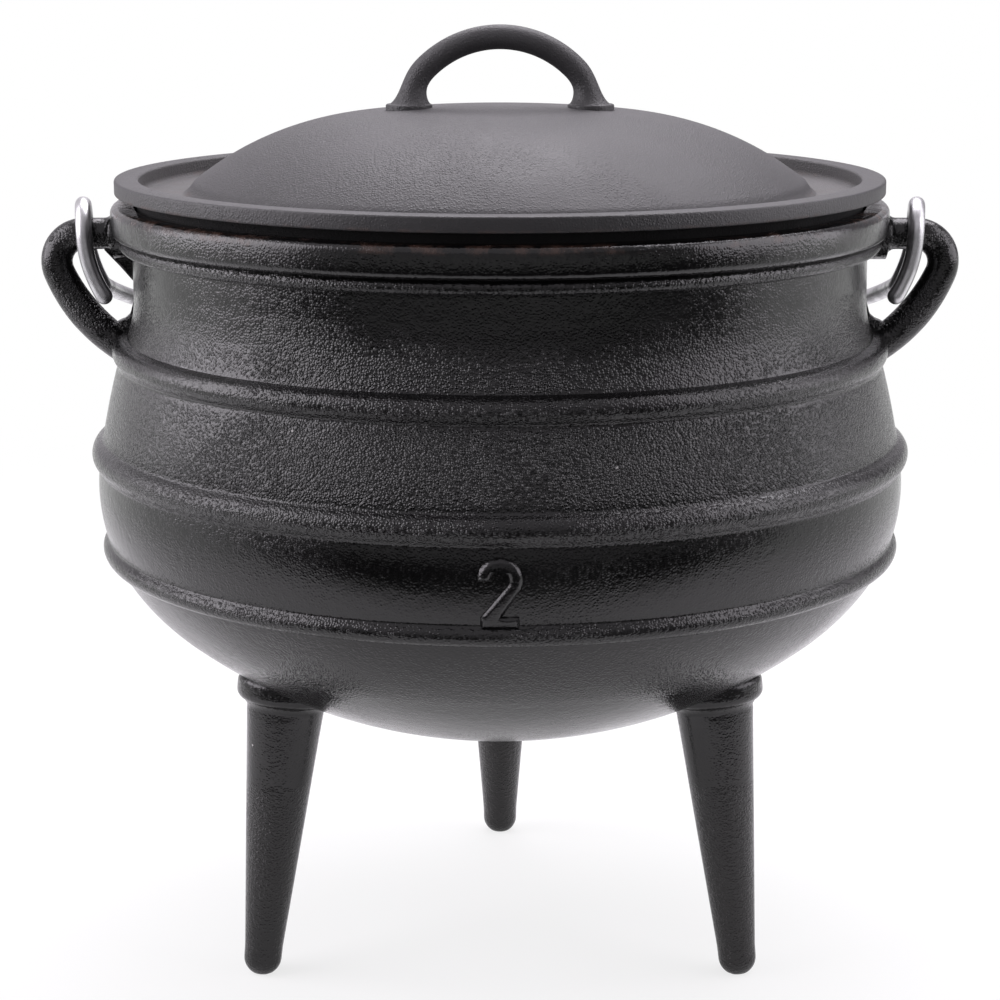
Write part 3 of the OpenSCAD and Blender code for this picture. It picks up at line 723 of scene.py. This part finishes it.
class BailPath:
    """The wire's middle line on the +X side, from the free leg's tip to the hoop's middle."""

    def __init__(self, pot, wire_r):
        hook_r = EAR_BAR_R + wire_r + HOOK_PLAY
        lean, turn = math.radians(HOOK_LEAN), math.radians(HOOK_TURN)
        self.hook = Vector((pot.collar_r + EAR_REACH - HOOK_FROM_EDGE, 0, EAR_Z))
        self.up = hook_r * Vector((math.sin(lean), 0, math.cos(lean)))
        self.across = hook_r * Vector(
            (math.sin(turn) * math.cos(lean), math.cos(turn), -math.sin(turn) * math.sin(lean))
        )
        droop = math.radians(HOOP_DROOP)
        self.back = Vector((0, math.cos(droop), -math.sin(droop)))
        rough = self.hoop_start(0)[-1]
        rear_z = rough.z - (pot.body_r - rough.y) * math.tan(droop)
        rear_y = pot.wall_r(rear_z) + BAIL_GAP + wire_r
        self.lean = math.asin(1 - (rear_y - rough.y) / (rough.x * math.cos(droop)))

    def leg_point(self, side, angle):
        """Point on a leg's bend. Side is -1 for the free leg and 1 for the hoop's."""
        t, t0 = math.radians(angle), math.radians(HOOK_LEAN)
        x = LEG_BEND_R * (math.cos(t) - math.cos(t0))
        z = -LEG_BEND_R * (math.sin(t) - math.sin(t0))
        return self.hook + side * self.across + Vector((x, 0, z))

    def hoop_start(self, lean):
        """Points round the bend from the leg into the hoop."""
        t = math.radians(HOOP_LEG_ANGLE)
        way = Vector((-math.sin(t), 0, -math.cos(t)))
        hoop = Vector((-math.sin(lean), 0, 0)) + math.cos(lean) * self.back
        turn = way.angle(hoop)
        inward = (hoop - hoop.dot(way) * way).normalized()
        start = self.leg_point(1, HOOP_LEG_ANGLE)
        points = []
        for i in range(BEND_STEPS + 1):
            a = turn * i / BEND_STEPS
            points.append(start + HOOP_BEND_R * ((1 - math.cos(a)) * inward + math.sin(a) * way))
        return points

    def points(self):
        """The whole wire, from one tip to the other."""
        side = []
        for i in range(FREE_STEPS + 1):
            angle = FREE_LEG_ANGLE + (HOOK_LEAN - FREE_LEG_ANGLE) * i / FREE_STEPS
            side.append(self.leg_point(-1, angle))
        for i in range(1, HOOK_STEPS + 1):
            a = math.pi * i / HOOK_STEPS
            side.append(self.hook - math.cos(a) * self.across + math.sin(a) * self.up)
        for i in range(1, DOWN_STEPS + 1):
            angle = HOOK_LEAN + (HOOP_LEG_ANGLE - HOOK_LEAN) * i / DOWN_STEPS
            side.append(self.leg_point(1, angle))
        side += self.hoop_start(self.lean)[1:]
        start = side[-1]
        hoop_r = start.x / math.cos(self.lean)
        centre = Vector((0, start.y, start.z)) - hoop_r * math.sin(self.lean) * self.back
        hoop = []
        for i in range(1, HOOP_STEPS):
            a = self.lean + (math.pi - 2 * self.lean) * i / HOOP_STEPS
            hoop.append(centre + hoop_r * (Vector((math.cos(a), 0, 0)) + math.sin(a) * self.back))
        other = [Vector((-p.x, p.y, p.z)) for p in reversed(side)]
        return side + hoop + other


def make_wire(path, wire_r):
    """The bail's wire with its round tips."""
    points = path.points()
    first = (points[0] - points[1]).normalized()
    last = (points[-1] - points[-2]).normalized()
    radii = [wire_r] * len(points)
    for i in range(TIP_SWELL_POINTS):
        radii[i] = radii[-1 - i] = wire_r + TIP_SWELL * (1 - i / TIP_SWELL_POINTS)
    ahead, behind, ahead_r = [], [], []
    for i in range(1, TIP_STEPS + 1):
        a = math.radians(TIP_TURN * i)
        ahead.insert(0, points[0] + first * TIP_R * math.sin(a))
        behind.append(points[-1] + last * TIP_R * math.sin(a))
        ahead_r.append(radii[0] * math.cos(a))
    bm = bmesh.new()
    sweep(bm, ahead + points + behind, list(reversed(ahead_r)) + radii + ahead_r, 28)
    return new_piece("bail_wire", bm)


# Materials


class Graph:
    """Makes and links nodes in one node tree."""

    def __init__(self, tree):
        self.tree = tree

    def add(self, kind, settings=None, **inputs):
        """Adds a node. Settings are its own values, and inputs name its sockets."""
        made = self.tree.nodes.new(kind)
        for key, value in (settings or {}).items():
            setattr(made, key, value)
        for key, value in inputs.items():
            self.put(made.inputs[key.replace("_", " ")], value)
        return made

    def put(self, socket, value):
        """Links a socket to an output, or sets its value."""
        if isinstance(value, bpy.types.NodeSocket):
            self.tree.links.new(value, socket)
        else:
            socket.default_value = value

    def math(self, operation, a, b=0.0, c=0.0):
        """One arithmetic step."""
        made = self.add("ShaderNodeMath", {"operation": operation})
        for i, value in enumerate((a, b, c)):
            self.put(made.inputs[i], value)
        return made.outputs[0]

    def times(self, a, b):
        """The product of two values."""
        return self.math("MULTIPLY", a, b)

    def remap(self, value, low, high, to_low=0.0, to_high=1.0):
        """A smooth step from low to high."""
        ends = {"From Min": low, "From Max": high, "To Min": to_low, "To Max": to_high}
        made = self.add("ShaderNodeMapRange", {"interpolation_type": "SMOOTHSTEP"}, Value=value)
        for name, end in ends.items():
            self.put(made.inputs[name], end)
        return made.outputs["Result"]

    def band(self, value, low, high, outside, low_inside, high_inside):
        """A mask from low to high, whose soft edges reach outside both and inside each of them."""
        rise = self.remap(value, low - outside, low + low_inside)
        return self.times(rise, self.remap(value, high - high_inside, high + outside, 1, 0))

    def mix(self, factor, a, b):
        """A mix of two colours."""
        made = self.add("ShaderNodeMix", {"data_type": "RGBA"}, Factor=factor)
        self.put(made.inputs[6], a)
        self.put(made.inputs[7], b)
        return made.outputs[2]

    def noise(self, place, scale, detail=2.0, roughness=0.5):
        """Noise of a given scale, in turns per metre."""
        inputs = {"Vector": place, "Scale": scale, "Detail": detail, "Roughness": roughness}
        return self.add("ShaderNodeTexNoise", None, **inputs).outputs["Fac"]

    def cells(self, place, scale):
        """Round cells, as the distance from each cell's middle and a value of the cell's own."""
        made = self.add("ShaderNodeTexVoronoi", {"feature": "F1"}, Vector=place, Scale=scale)
        own = self.add("ShaderNodeSeparateColor", None, Color=made.outputs["Color"])
        return made.outputs["Distance"], own.outputs[0]

    def distance(self, place):
        """Distance of a place from the origin."""
        made = self.add("ShaderNodeVectorMath", {"operation": "LENGTH"}, Vector=place)
        return made.outputs["Value"]

    def axes(self, place):
        """The X, Y and Z outputs of a place."""
        return self.add("ShaderNodeSeparateXYZ", None, Vector=place).outputs

    def group(self, tree, **inputs):
        """Places a shared node group."""
        return self.add("ShaderNodeGroup", {"node_tree": tree}, **inputs)

    def bump(self, shader, height):
        """Lets a height, in metres, shape the shader's normal."""
        made = self.add("ShaderNodeBump", None, Height=height, Distance=1.0, Strength=1.0)
        self.put(shader.inputs["Normal"], made.outputs["Normal"])


def new_group(name, inputs, outputs):
    """An empty shader node group with named sockets, each given as (name, kind, default)."""
    tree = bpy.data.node_groups.new(name, "ShaderNodeTree")
    for socket_name, kind, default in inputs:
        socket = tree.interface.new_socket(socket_name, in_out="INPUT", socket_type=kind)
        if default is not None:
            socket.default_value = default
    for socket_name, kind in outputs:
        tree.interface.new_socket(socket_name, in_out="OUTPUT", socket_type=kind)
    graph = Graph(tree)
    return graph, tree.nodes.new("NodeGroupInput"), tree.nodes.new("NodeGroupOutput")


# Scales of the noises and cells, in turns or cells per metre
PEEL_SCALE, PATCH_SCALE, PIT_SCALE, PEBBLE_NOISE_SHARE = 330, 24, 120, 0.6
SPECK_SCALE, CLOUD_SCALE, BLOTCH_SCALE = 330, 22, 130
ZINC_CLOUD_SCALE, ZINC_DRAW_SCALE, ZINC_DRAW_H = 160, 1500, 0.00002


def cast_skin_group():
    """Height of a coated sand casting: orange peel, sand grain and a few pits, in metres."""
    number = "NodeSocketFloat"
    graph, start, end = new_group(
        "Cast skin",
        [
            ("Place", "NodeSocketVector", None),
            ("Rough share", number, 1.0),
            ("Peel", number, 0.0001),
            ("Grain", number, 0.0002),
            ("Pebbles", number, 1000.0),
        ],
        [("Height", number)],
    )
    place = start.outputs["Place"]
    size = start.outputs["Pebbles"]
    distance, own = graph.cells(place, size)
    pebbles = graph.remap(distance, 0.0, 0.75, 1.0, 0.0)
    pebbles = graph.times(pebbles, graph.remap(own, 0, 1, 0.35, 1.0))
    crumbs = graph.noise(place, graph.times(size, PEBBLE_NOISE_SHARE), 2, 0.6)
    pebbles = graph.math("ADD", pebbles, crumbs)
    patches = graph.remap(graph.noise(place, PATCH_SCALE, 1), 0.38, 0.62, 0.45, 1.0)
    grain = graph.times(graph.times(pebbles, patches), start.outputs["Grain"])
    grain = graph.times(grain, start.outputs["Rough share"])
    peel = graph.noise(place, PEEL_SCALE, 1.5, 0.5)
    pits = graph.remap(graph.noise(place, PIT_SCALE, 1), 0.72, 0.84, 0.0, -0.9)
    slow = graph.times(graph.math("ADD", peel, pits), start.outputs["Peel"])
    graph.put(end.inputs["Height"], graph.math("ADD", grain, slow))
    return graph.tree


def dust_group():
    """Small pale specks, few and far between: partly real specks and partly painted glints."""
    number = "NodeSocketFloat"
    graph, start, end = new_group(
        "Dust specks",
        [("Place", "NodeSocketVector", None), ("Amount", number, 0.5)],
        [("Specks", number)],
    )
    distance, own = graph.cells(start.outputs["Place"], SPECK_SCALE)
    near = graph.remap(distance, 0.07, 0.13, 1.0, 0.0)
    chosen = graph.math("LESS_THAN", own, start.outputs["Amount"])
    graph.put(end.inputs["Specks"], graph.times(near, chosen))
    return graph.tree


def empty_graph(owner):
    """The graph of a material or a world, with its nodes taken out."""
    owner.use_nodes = True
    owner.node_tree.nodes.clear()
    return Graph(owner.node_tree)


def new_material(name):
    """A material with its shader, its object coordinates and a graph."""
    made = bpy.data.materials.new(name)
    graph = empty_graph(made)
    shader = graph.add("ShaderNodeBsdfPrincipled")
    graph.add("ShaderNodeOutputMaterial", None, Surface=shader.outputs[0])
    place = graph.add("ShaderNodeTexCoord").outputs["Object"]
    return made, graph, shader, place


def linear(value, brightness=1.0):
    """A colour with full alpha, made darker or brighter."""
    return (*(channel * brightness for channel in value), 1.0)


def grain_share(graph, z, zones):
    """Share of the sand grain at a height. Without zones it is 1 everywhere."""
    if not zones:
        return 1.0
    total = SMOOTH_SHARE
    for low, high, zone_share in zones:
        inside = graph.band(z, low, high, *ZONE_EDGE)
        total = graph.math("ADD", total, graph.times(inside, zone_share - SMOOTH_SHARE))
    return total


def lid_masks(graph, place, z):
    """Masks of the lid's paler gutter and of the rim's underside, where shade is painted black."""
    flat = graph.add("ShaderNodeVectorMath", {"operation": "MULTIPLY"}, Vector=place)
    graph.put(flat.inputs[1], (1, 1, 0))
    away = graph.distance(flat.outputs[0])
    outer = graph.remap(away, GUTTER_OUT, GUTTER_OUT + GUTTER_OUT_EDGE)
    gutter = graph.remap(away, GUTTER_IN, GUTTER_IN + GUTTER_IN_EDGE)
    gutter = graph.times(gutter, graph.math("SUBTRACT", 1.0, outer))
    # Painted shade: below a height and outside the gutter, the rim lies in the dark gap over the pot
    below, above = LID_PAINTED_SHADE_EDGE
    under = graph.remap(z, LID_PAINTED_SHADE_Z - below, LID_PAINTED_SHADE_Z + above, 1, 0)
    return gutter, graph.times(under, outer)


def iron_material(name, finish, base, roughness, peel, grain, pebbles, rust_band, zones):
    """Coated cast iron.

    The rust band is (low, high, share): rust shows between those heights, with that share at most.
    Each zone is (low, high, share): between those heights, the sand grain has that share of its
    full height. Without zones the grain is even, the gutter is painted paler, and shade is
    painted on the rim's underside, which is made black.
    """
    made, graph, shader, place = new_material(name)
    # The pale specks are partly real specks on the coating and partly painted glints
    specks = graph.group(SHARED["dust"], Place=place, Amount=DUST_AND_GLINT_AMOUNT).outputs["Specks"]
    z = graph.axes(place)["Z"]
    rough_share = grain_share(graph, z, zones)
    skin = graph.group(
        SHARED["skin"], Place=place, Peel=peel, Grain=grain, Rough_share=rough_share, Pebbles=pebbles
    )
    cloud = graph.noise(place, CLOUD_SCALE, 4, 0.6)
    dark, bright = (linear(base, brightness) for brightness in IRON_PATCHES)
    toned = graph.mix(graph.remap(cloud, 0.3, 0.7), dark, bright)
    low, high, rust_share = rust_band
    in_band = graph.band(z, low, high, *RUST_EDGE)
    blotch = graph.remap(graph.noise(place, BLOTCH_SCALE, 4, 0.65), 0.45, 0.66)
    rusty = graph.times(graph.times(in_band, blotch), rust_share)
    toned = graph.mix(rusty, toned, linear(finish.rust))
    smoothest, roughest = (roughness + change for change in ROUGHNESS_PATCHES)
    rough = graph.remap(cloud, 0.25, 0.75, smoothest, roughest)
    rough = graph.math("ADD", rough, graph.times(rusty, RUST_ROUGHNESS))
    if zones:
        brown = graph.times(
            graph.remap(z, *LEG_BROWN_FADE, 1, 0), graph.remap(cloud, 0.35, 0.75, 0.1, 0.5)
        )
        toned = graph.mix(brown, toned, linear(LEG_BROWN))
    else:
        gutter, under = lid_masks(graph, place, z)
        # The gutter is painted paler with the pale tint
        toned = graph.mix(graph.times(gutter, GUTTER_PALE_SHARE), toned, linear(finish.dust))
        # Painted shade: the rim's underside, in the dark gap over the pot, is painted as black as
        # the pot and made rougher
        toned = graph.mix(under, toned, linear(finish.pot_black))
        rough = graph.math("ADD", rough, graph.times(under, UNDER_ROUGHNESS))
    # The pale specks, partly painted glints, are painted into the colour
    graph.put(shader.inputs["Base Color"], graph.mix(specks, toned, linear(finish.dust)))
    graph.put(shader.inputs["Roughness"], rough)
    graph.bump(shader, skin.outputs["Height"])
    return made


def zinc_material(name, finish):
    """Galvanised wire, bright, with a faint draw along it and dull patches."""
    made, graph, shader, place = new_material(name)
    cloud = graph.noise(place, ZINC_CLOUD_SCALE, 3, 0.6)
    bright, dull = linear(finish.zinc), linear(finish.zinc, ZINC_DULL)
    graph.put(shader.inputs["Base Color"], graph.mix(graph.remap(cloud, 0.35, 0.7), bright, dull))
    graph.put(shader.inputs["Roughness"], graph.remap(cloud, 0.3, 0.75, *ZINC_ROUGHNESS))
    graph.put(shader.inputs["Metallic"], 1.0)
    graph.bump(shader, graph.times(graph.noise(place, ZINC_DRAW_SCALE, 2, 0.6), ZINC_DRAW_H))
    return made


# Pebbles of the sand grain, in cells per metre, and the share of cells that hold a pale speck,
# partly a real speck on the coating and partly a painted glint
POT_PEBBLES, LID_PEBBLES, DUST_AND_GLINT_AMOUNT = 1450.0, 1600.0, 0.007
LID_PEEL_SHARE, LID_GRAIN_SHARE = 0.8, 0.26
# Sand grain by height, in metres. The bands and the low wall are smoother than the rest, and the
# neck's grain fades upwards in three steps.
SMOOTH_SHARE = 0.14
ZONE_EDGE = (0.001, 0.002, 0.002)
GRAIN_ZONES = (
    (0.0, 0.06, 0.45), (0.1, 0.122, 0.3), (0.123, 0.129, 0.5), (0.1502, 0.159, 0.5),
    (0.1592, 0.1806, 1.0), (0.1808, 0.1885, 0.5), (0.2142, 0.2184, 0.6),
    (0.1887, 0.197, 0.45), (0.1887, 0.2015, 0.4), (0.1887, 0.206, 0.3),
)
# Rust at the pot's mouth and at the lid's lower edge, in metres, with its share
POT_RUST, LID_RUST = (0.2256, 0.2277, 0.5), (0.2306, 0.2312, 0.3)
RUST_EDGE = (0.0008, 0.0004, 0.0)
# The legs are a little brown, which fades between these heights in metres
LEG_BROWN, LEG_BROWN_FADE = (0.0065, 0.0045, 0.0036), (0.05, 0.09)
# Below this height, in metres, shade is painted on the lid's rim: it is made as black as the pot
# there, in the shaded gap over the pot's mouth
LID_PAINTED_SHADE_Z, LID_PAINTED_SHADE_EDGE = 0.2307, (0.0004, 0.0003)
# Radii of the lid's gutter, in metres, and the share of the pale tint that it is painted with
GUTTER_IN, GUTTER_OUT, GUTTER_PALE_SHARE = 0.091, 0.1063, 0.12
GUTTER_IN_EDGE, GUTTER_OUT_EDGE = 0.003, 0.0006
# Brightness of the darkest and the brightest patches, and how they and the masks change roughness
IRON_PATCHES, ZINC_DULL = (0.8, 1.35), 0.68
ROUGHNESS_PATCHES, RUST_ROUGHNESS, UNDER_ROUGHNESS = (-0.05, 0.07), 0.25, 0.4
ZINC_ROUGHNESS = (0.28, 0.44)
SHARED = {}


def shared_groups():
    """Builds the shared node groups once."""
    if not SHARED:
        SHARED["skin"] = cast_skin_group()
        SHARED["dust"] = dust_group()


def dress(piece, made, body, node):
    """Gives a piece its material, and puts it in the place of its CAD node."""
    piece.data.materials.clear()
    piece.data.materials.append(made)
    piece.data.shade_smooth()
    piece.data.set_sharp_from_angle(angle=math.radians(SHARP_DEGREES))
    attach(piece, body)
    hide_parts(node)


# Operators


class POTJIE_OT_pot(bpy.types.Operator):
    """Builds the pot's casting with its ears, legs and raised number"""

    bl_idname = "potjie.pot"
    bl_label = "Pot casting"

    def execute(self, context):
        shared_groups()
        shape, finish = context.scene.potjie_shape, context.scene.potjie_finish
        section = PotSection(shape)
        bm = bmesh.new()
        outside = section.outside()
        inside = section.inside()
        outside[0] = (0.0, outside[0][1])
        inside[-1] = (0.0, inside[-1][1])
        revolve(bm, outside + inside, REVOLVE_STEPS)
        casting = new_piece("pot_casting", bm)
        sway(casting, shape.casting_sway, SWAY_SCALE)
        added = [make_ear(section, side) for side in (1, -1)]
        added.append(make_plate(WEB, WEB_W, -1, WEB_ROUND))
        added += [make_plate(CORNER, FILLET_W, side, FILLET_ROUND) for side in (1, -1)]
        added += [make_leg(section, turn) for turn in LEG_TURNS]
        added.append(make_number(section, shape.number_proud / MM))
        unite(casting, added)
        made = iron_material(
            "pot iron",
            finish,
            finish.pot_black,
            finish.pot_gloss,
            finish.peel,
            finish.grain,
            POT_PEBBLES,
            POT_RUST,
            GRAIN_ZONES,
        )
        dress(casting, made, "pot", "pot")
        return {"FINISHED"}


class POTJIE_OT_lid(bpy.types.Operator):
    """Builds the lid's casting with its loop handle"""

    bl_idname = "potjie.lid"
    bl_label = "Lid casting"

    def execute(self, context):
        shared_groups()
        finish = context.scene.potjie_finish
        lid = LidSection(PotSection(context.scene.potjie_shape))
        outline = lid.outline()
        outline[0] = (0.0, outline[0][1])
        outline[-1] = (0.0, outline[-1][1])
        bm = bmesh.new()
        revolve(bm, outline, REVOLVE_STEPS)
        casting = new_piece("lid_casting", bm)
        unite(casting, [make_handle(lid), make_pad(lid, 1), make_pad(lid, -1)])
        made = iron_material(
            "lid iron",
            finish,
            finish.lid_grey,
            finish.lid_gloss,
            finish.peel * LID_PEEL_SHARE,
            finish.grain * LID_GRAIN_SHARE,
            LID_PEBBLES,
            LID_RUST,
            (),
        )
        dress(casting, made, "pot", "lid")
        return {"FINISHED"}


class POTJIE_OT_bail(bpy.types.Operator):
    """Builds the bail's wire"""

    bl_idname = "potjie.bail"
    bl_label = "Bail"

    def execute(self, context):
        shape, finish = context.scene.potjie_shape, context.scene.potjie_finish
        wire_r = shape.wire_r / MM
        wire = make_wire(BailPath(PotSection(shape), wire_r), wire_r)
        dress(wire, zinc_material("bail zinc", finish), "bail", "bail")
        return {"FINISHED"}


# Studio. The floor's edges are in metres, and the room's are parts of a direction, from -1 to 1.
FLOOR_SIZE, FLOOR_DROP = 8.0, 0.0001
FLOOR_FADE = (0.32, 0.85)
FLOOR_WHITE, FLOOR_MIRROR = 0.76, 0.35
FLOOR_FRONT, FLOOR_ROOM = (-0.41, -0.22), (-1.6, -0.9)
ROOM_FRONT, ROOM_ABOVE, ROOM_RIGHT, ABOVE_SHARE = (-0.75, -0.05), (0.05, 0.45), (0.1, 0.7), 0.9
WORLD_LIGHT, GLOSSY_LIGHT = 0.65, 0.76
FRONT_SHADE, FLOOR_SHADE, RIGHT_SHADE = 0.5, 0.03, 0.48
LIGHT_TINT = (0.98, 0.94, 1.0)
WHITE, BLACK = (1, 1, 1, 1), (0, 0, 0, 1)
SENSOR_WIDTH = 36
# Each softbox is its name, its power's setting, its share of that, its place, target and size
SOFTBOXES = (
    ("softbox left", "side_light", 1.0, (-0.6, -0.12, 0.53), (0, -0.12, 0.53), (0.6, 0.7)),
    ("softbox right", "side_light", 0.68, (0.6, -0.12, 0.53), (0, -0.12, 0.53), (0.6, 0.7)),
    ("softbox above", "top_light", 1.0, (0.12, 0.36, 1.0), (0, 0.05, 0.15), (1.0, 0.7)),
)


def floor_material(floor_colour):
    """A pale floor that keeps the pot's shadow and fades to white further out.

    For reflections and for light it is darker in front of the pot, as the room is.
    """
    made = bpy.data.materials.new("studio floor")
    graph = empty_graph(made)
    place = graph.add("ShaderNodeTexCoord").outputs["Object"]
    ray = graph.add("ShaderNodeLightPath").outputs
    y = graph.axes(place)["Y"]
    shade = graph.remap(y, *FLOOR_FRONT, FLOOR_SHADE, 1.0)
    shade = graph.math("MAXIMUM", shade, graph.remap(y, *FLOOR_ROOM, FRONT_SHADE, 0.0))
    shade = graph.math("MAXIMUM", shade, ray["Is Camera Ray"])
    pale = graph.mix(shade, BLACK, linear(floor_colour))
    matt = graph.add("ShaderNodeBsdfDiffuse", None, Color=pale)
    white = graph.add("ShaderNodeEmission", None, Color=WHITE, Strength=shade)
    away = graph.distance(place)
    mirrored = graph.math("MAXIMUM", ray["Is Glossy Ray"], ray["Is Transmission Ray"])
    mirrored = graph.times(mirrored, graph.remap(away, *FLOOR_FADE, FLOOR_MIRROR, 1.0))
    seen = graph.times(graph.remap(away, *FLOOR_FADE, FLOOR_WHITE, 1.0), ray["Is Camera Ray"])
    blend = graph.add("ShaderNodeMixShader", None, Fac=graph.math("MAXIMUM", seen, mirrored))
    graph.put(blend.inputs[1], matt.outputs[0])
    graph.put(blend.inputs[2], white.outputs[0])
    graph.add("ShaderNodeOutputMaterial", None, Surface=blend.outputs[0])
    return made


def studio_world():
    """A white surround, darker in front and on the right for reflections and light."""
    world = bpy.data.worlds.new("studio")
    bpy.context.scene.world = world
    graph = empty_graph(world)
    way = graph.axes(graph.add("ShaderNodeTexCoord").outputs["Generated"])
    front = graph.remap(way["Y"], *ROOM_FRONT, FRONT_SHADE, 1.0)
    above = graph.remap(way["Z"], *ROOM_ABOVE, 0.0, ABOVE_SHARE)
    room = graph.math("MAXIMUM", front, above)
    room = graph.times(room, graph.remap(way["X"], *ROOM_RIGHT, 1.0, RIGHT_SHADE))
    ray = graph.add("ShaderNodeLightPath").outputs
    level = graph.remap(ray["Is Glossy Ray"], 0, 1, WORLD_LIGHT, GLOSSY_LIGHT)
    seen = graph.math("MAXIMUM", ray["Is Camera Ray"], ray["Is Transmission Ray"])
    studio = graph.times(graph.times(room, level), graph.math("SUBTRACT", 1.0, seen))
    strength = graph.math("ADD", studio, seen)
    tint = graph.mix(seen, linear(LIGHT_TINT), WHITE)
    light = graph.add("ShaderNodeBackground", None, Color=tint, Strength=strength)
    graph.add("ShaderNodeOutputWorld", None, Surface=light.outputs[0])


def softbox(name, place, target, size, power):
    """A rectangular lamp that faces a target."""
    data = bpy.data.lights.new(name, "AREA")
    data.shape = "RECTANGLE"
    data.size, data.size_y = size
    data.energy = power
    data.color = LIGHT_TINT
    lamp = bpy.data.objects.new(name, data)
    lamp.location = place
    lamp.rotation_euler = (Vector(target) - Vector(place)).to_track_quat("-Z", "Y").to_euler()
    bpy.context.scene.collection.objects.link(lamp)


class POTJIE_OT_stage(bpy.types.Operator):
    """Builds the pale floor, the soft light and the camera"""

    bl_idname = "potjie.stage"
    bl_label = "Studio"

    def execute(self, context):
        scene = context.scene
        studio = scene.potjie_studio
        bm = bmesh.new()
        bmesh.ops.create_grid(bm, x_segments=1, y_segments=1, size=FLOOR_SIZE / 2)
        data = bpy.data.meshes.new("studio_floor")
        bm.to_mesh(data)
        bm.free()
        floor = bpy.data.objects.new("studio_floor", data)
        floor.location.z = -FLOOR_DROP
        data.materials.append(floor_material(studio.floor_colour))
        scene.collection.objects.link(floor)
        studio_world()
        for name, power, power_share, place, target, size in SOFTBOXES:
            softbox(name, place, target, size, getattr(studio, power) * power_share)
        data = bpy.data.cameras.new("camera")
        data.lens = studio.focal_length
        data.sensor_width = SENSOR_WIDTH
        camera = bpy.data.objects.new("camera", data)
        camera.location = (0, -studio.camera_distance, studio.camera_height)
        camera.rotation_euler = (math.pi / 2 - studio.camera_pitch, 0, 0)
        scene.collection.objects.link(camera)
        scene.camera = camera
        scene.view_settings.view_transform = "Standard"
        return {"FINISHED"}


class POTJIE_PT_panel(bpy.types.Panel):
    """Lists the operators that build the pot"""

    bl_label = "Potjie pot"
    bl_idname = "POTJIE_PT_panel"
    bl_space_type = "VIEW_3D"
    bl_region_type = "UI"
    bl_category = "Potjie"

    def draw(self, context):
        for operator in OPERATORS:
            self.layout.operator(operator.bl_idname)
        for settings in GROUPS:
            group = getattr(context.scene, settings)
            for name in group.__annotations__:
                self.layout.prop(group, name)


OPERATORS = (POTJIE_OT_pot, POTJIE_OT_lid, POTJIE_OT_bail, POTJIE_OT_stage)
GROUPS = {"potjie_shape": PotjieShape, "potjie_finish": PotjieFinish, "potjie_studio": PotjieStudio}


def register():
    """Registers the classes and the settings."""
    for group in GROUPS.values():
        bpy.utils.register_class(group)
    for operator in OPERATORS:
        bpy.utils.register_class(operator)
    bpy.utils.register_class(POTJIE_PT_panel)
    for name, group in GROUPS.items():
        setattr(bpy.types.Scene, name, bpy.props.PointerProperty(type=group))


def unregister():
    """Removes the settings and the classes."""
    for name in GROUPS:
        delattr(bpy.types.Scene, name)
    bpy.utils.unregister_class(POTJIE_PT_panel)
    for made in reversed(OPERATORS + tuple(GROUPS.values())):
        bpy.utils.unregister_class(made)


def main():
    """Builds everything."""
    register()
    bpy.ops.potjie.pot()
    bpy.ops.potjie.lid()
    bpy.ops.potjie.bail()
    bpy.ops.potjie.stage()


if __name__ == "__main__":
    main()
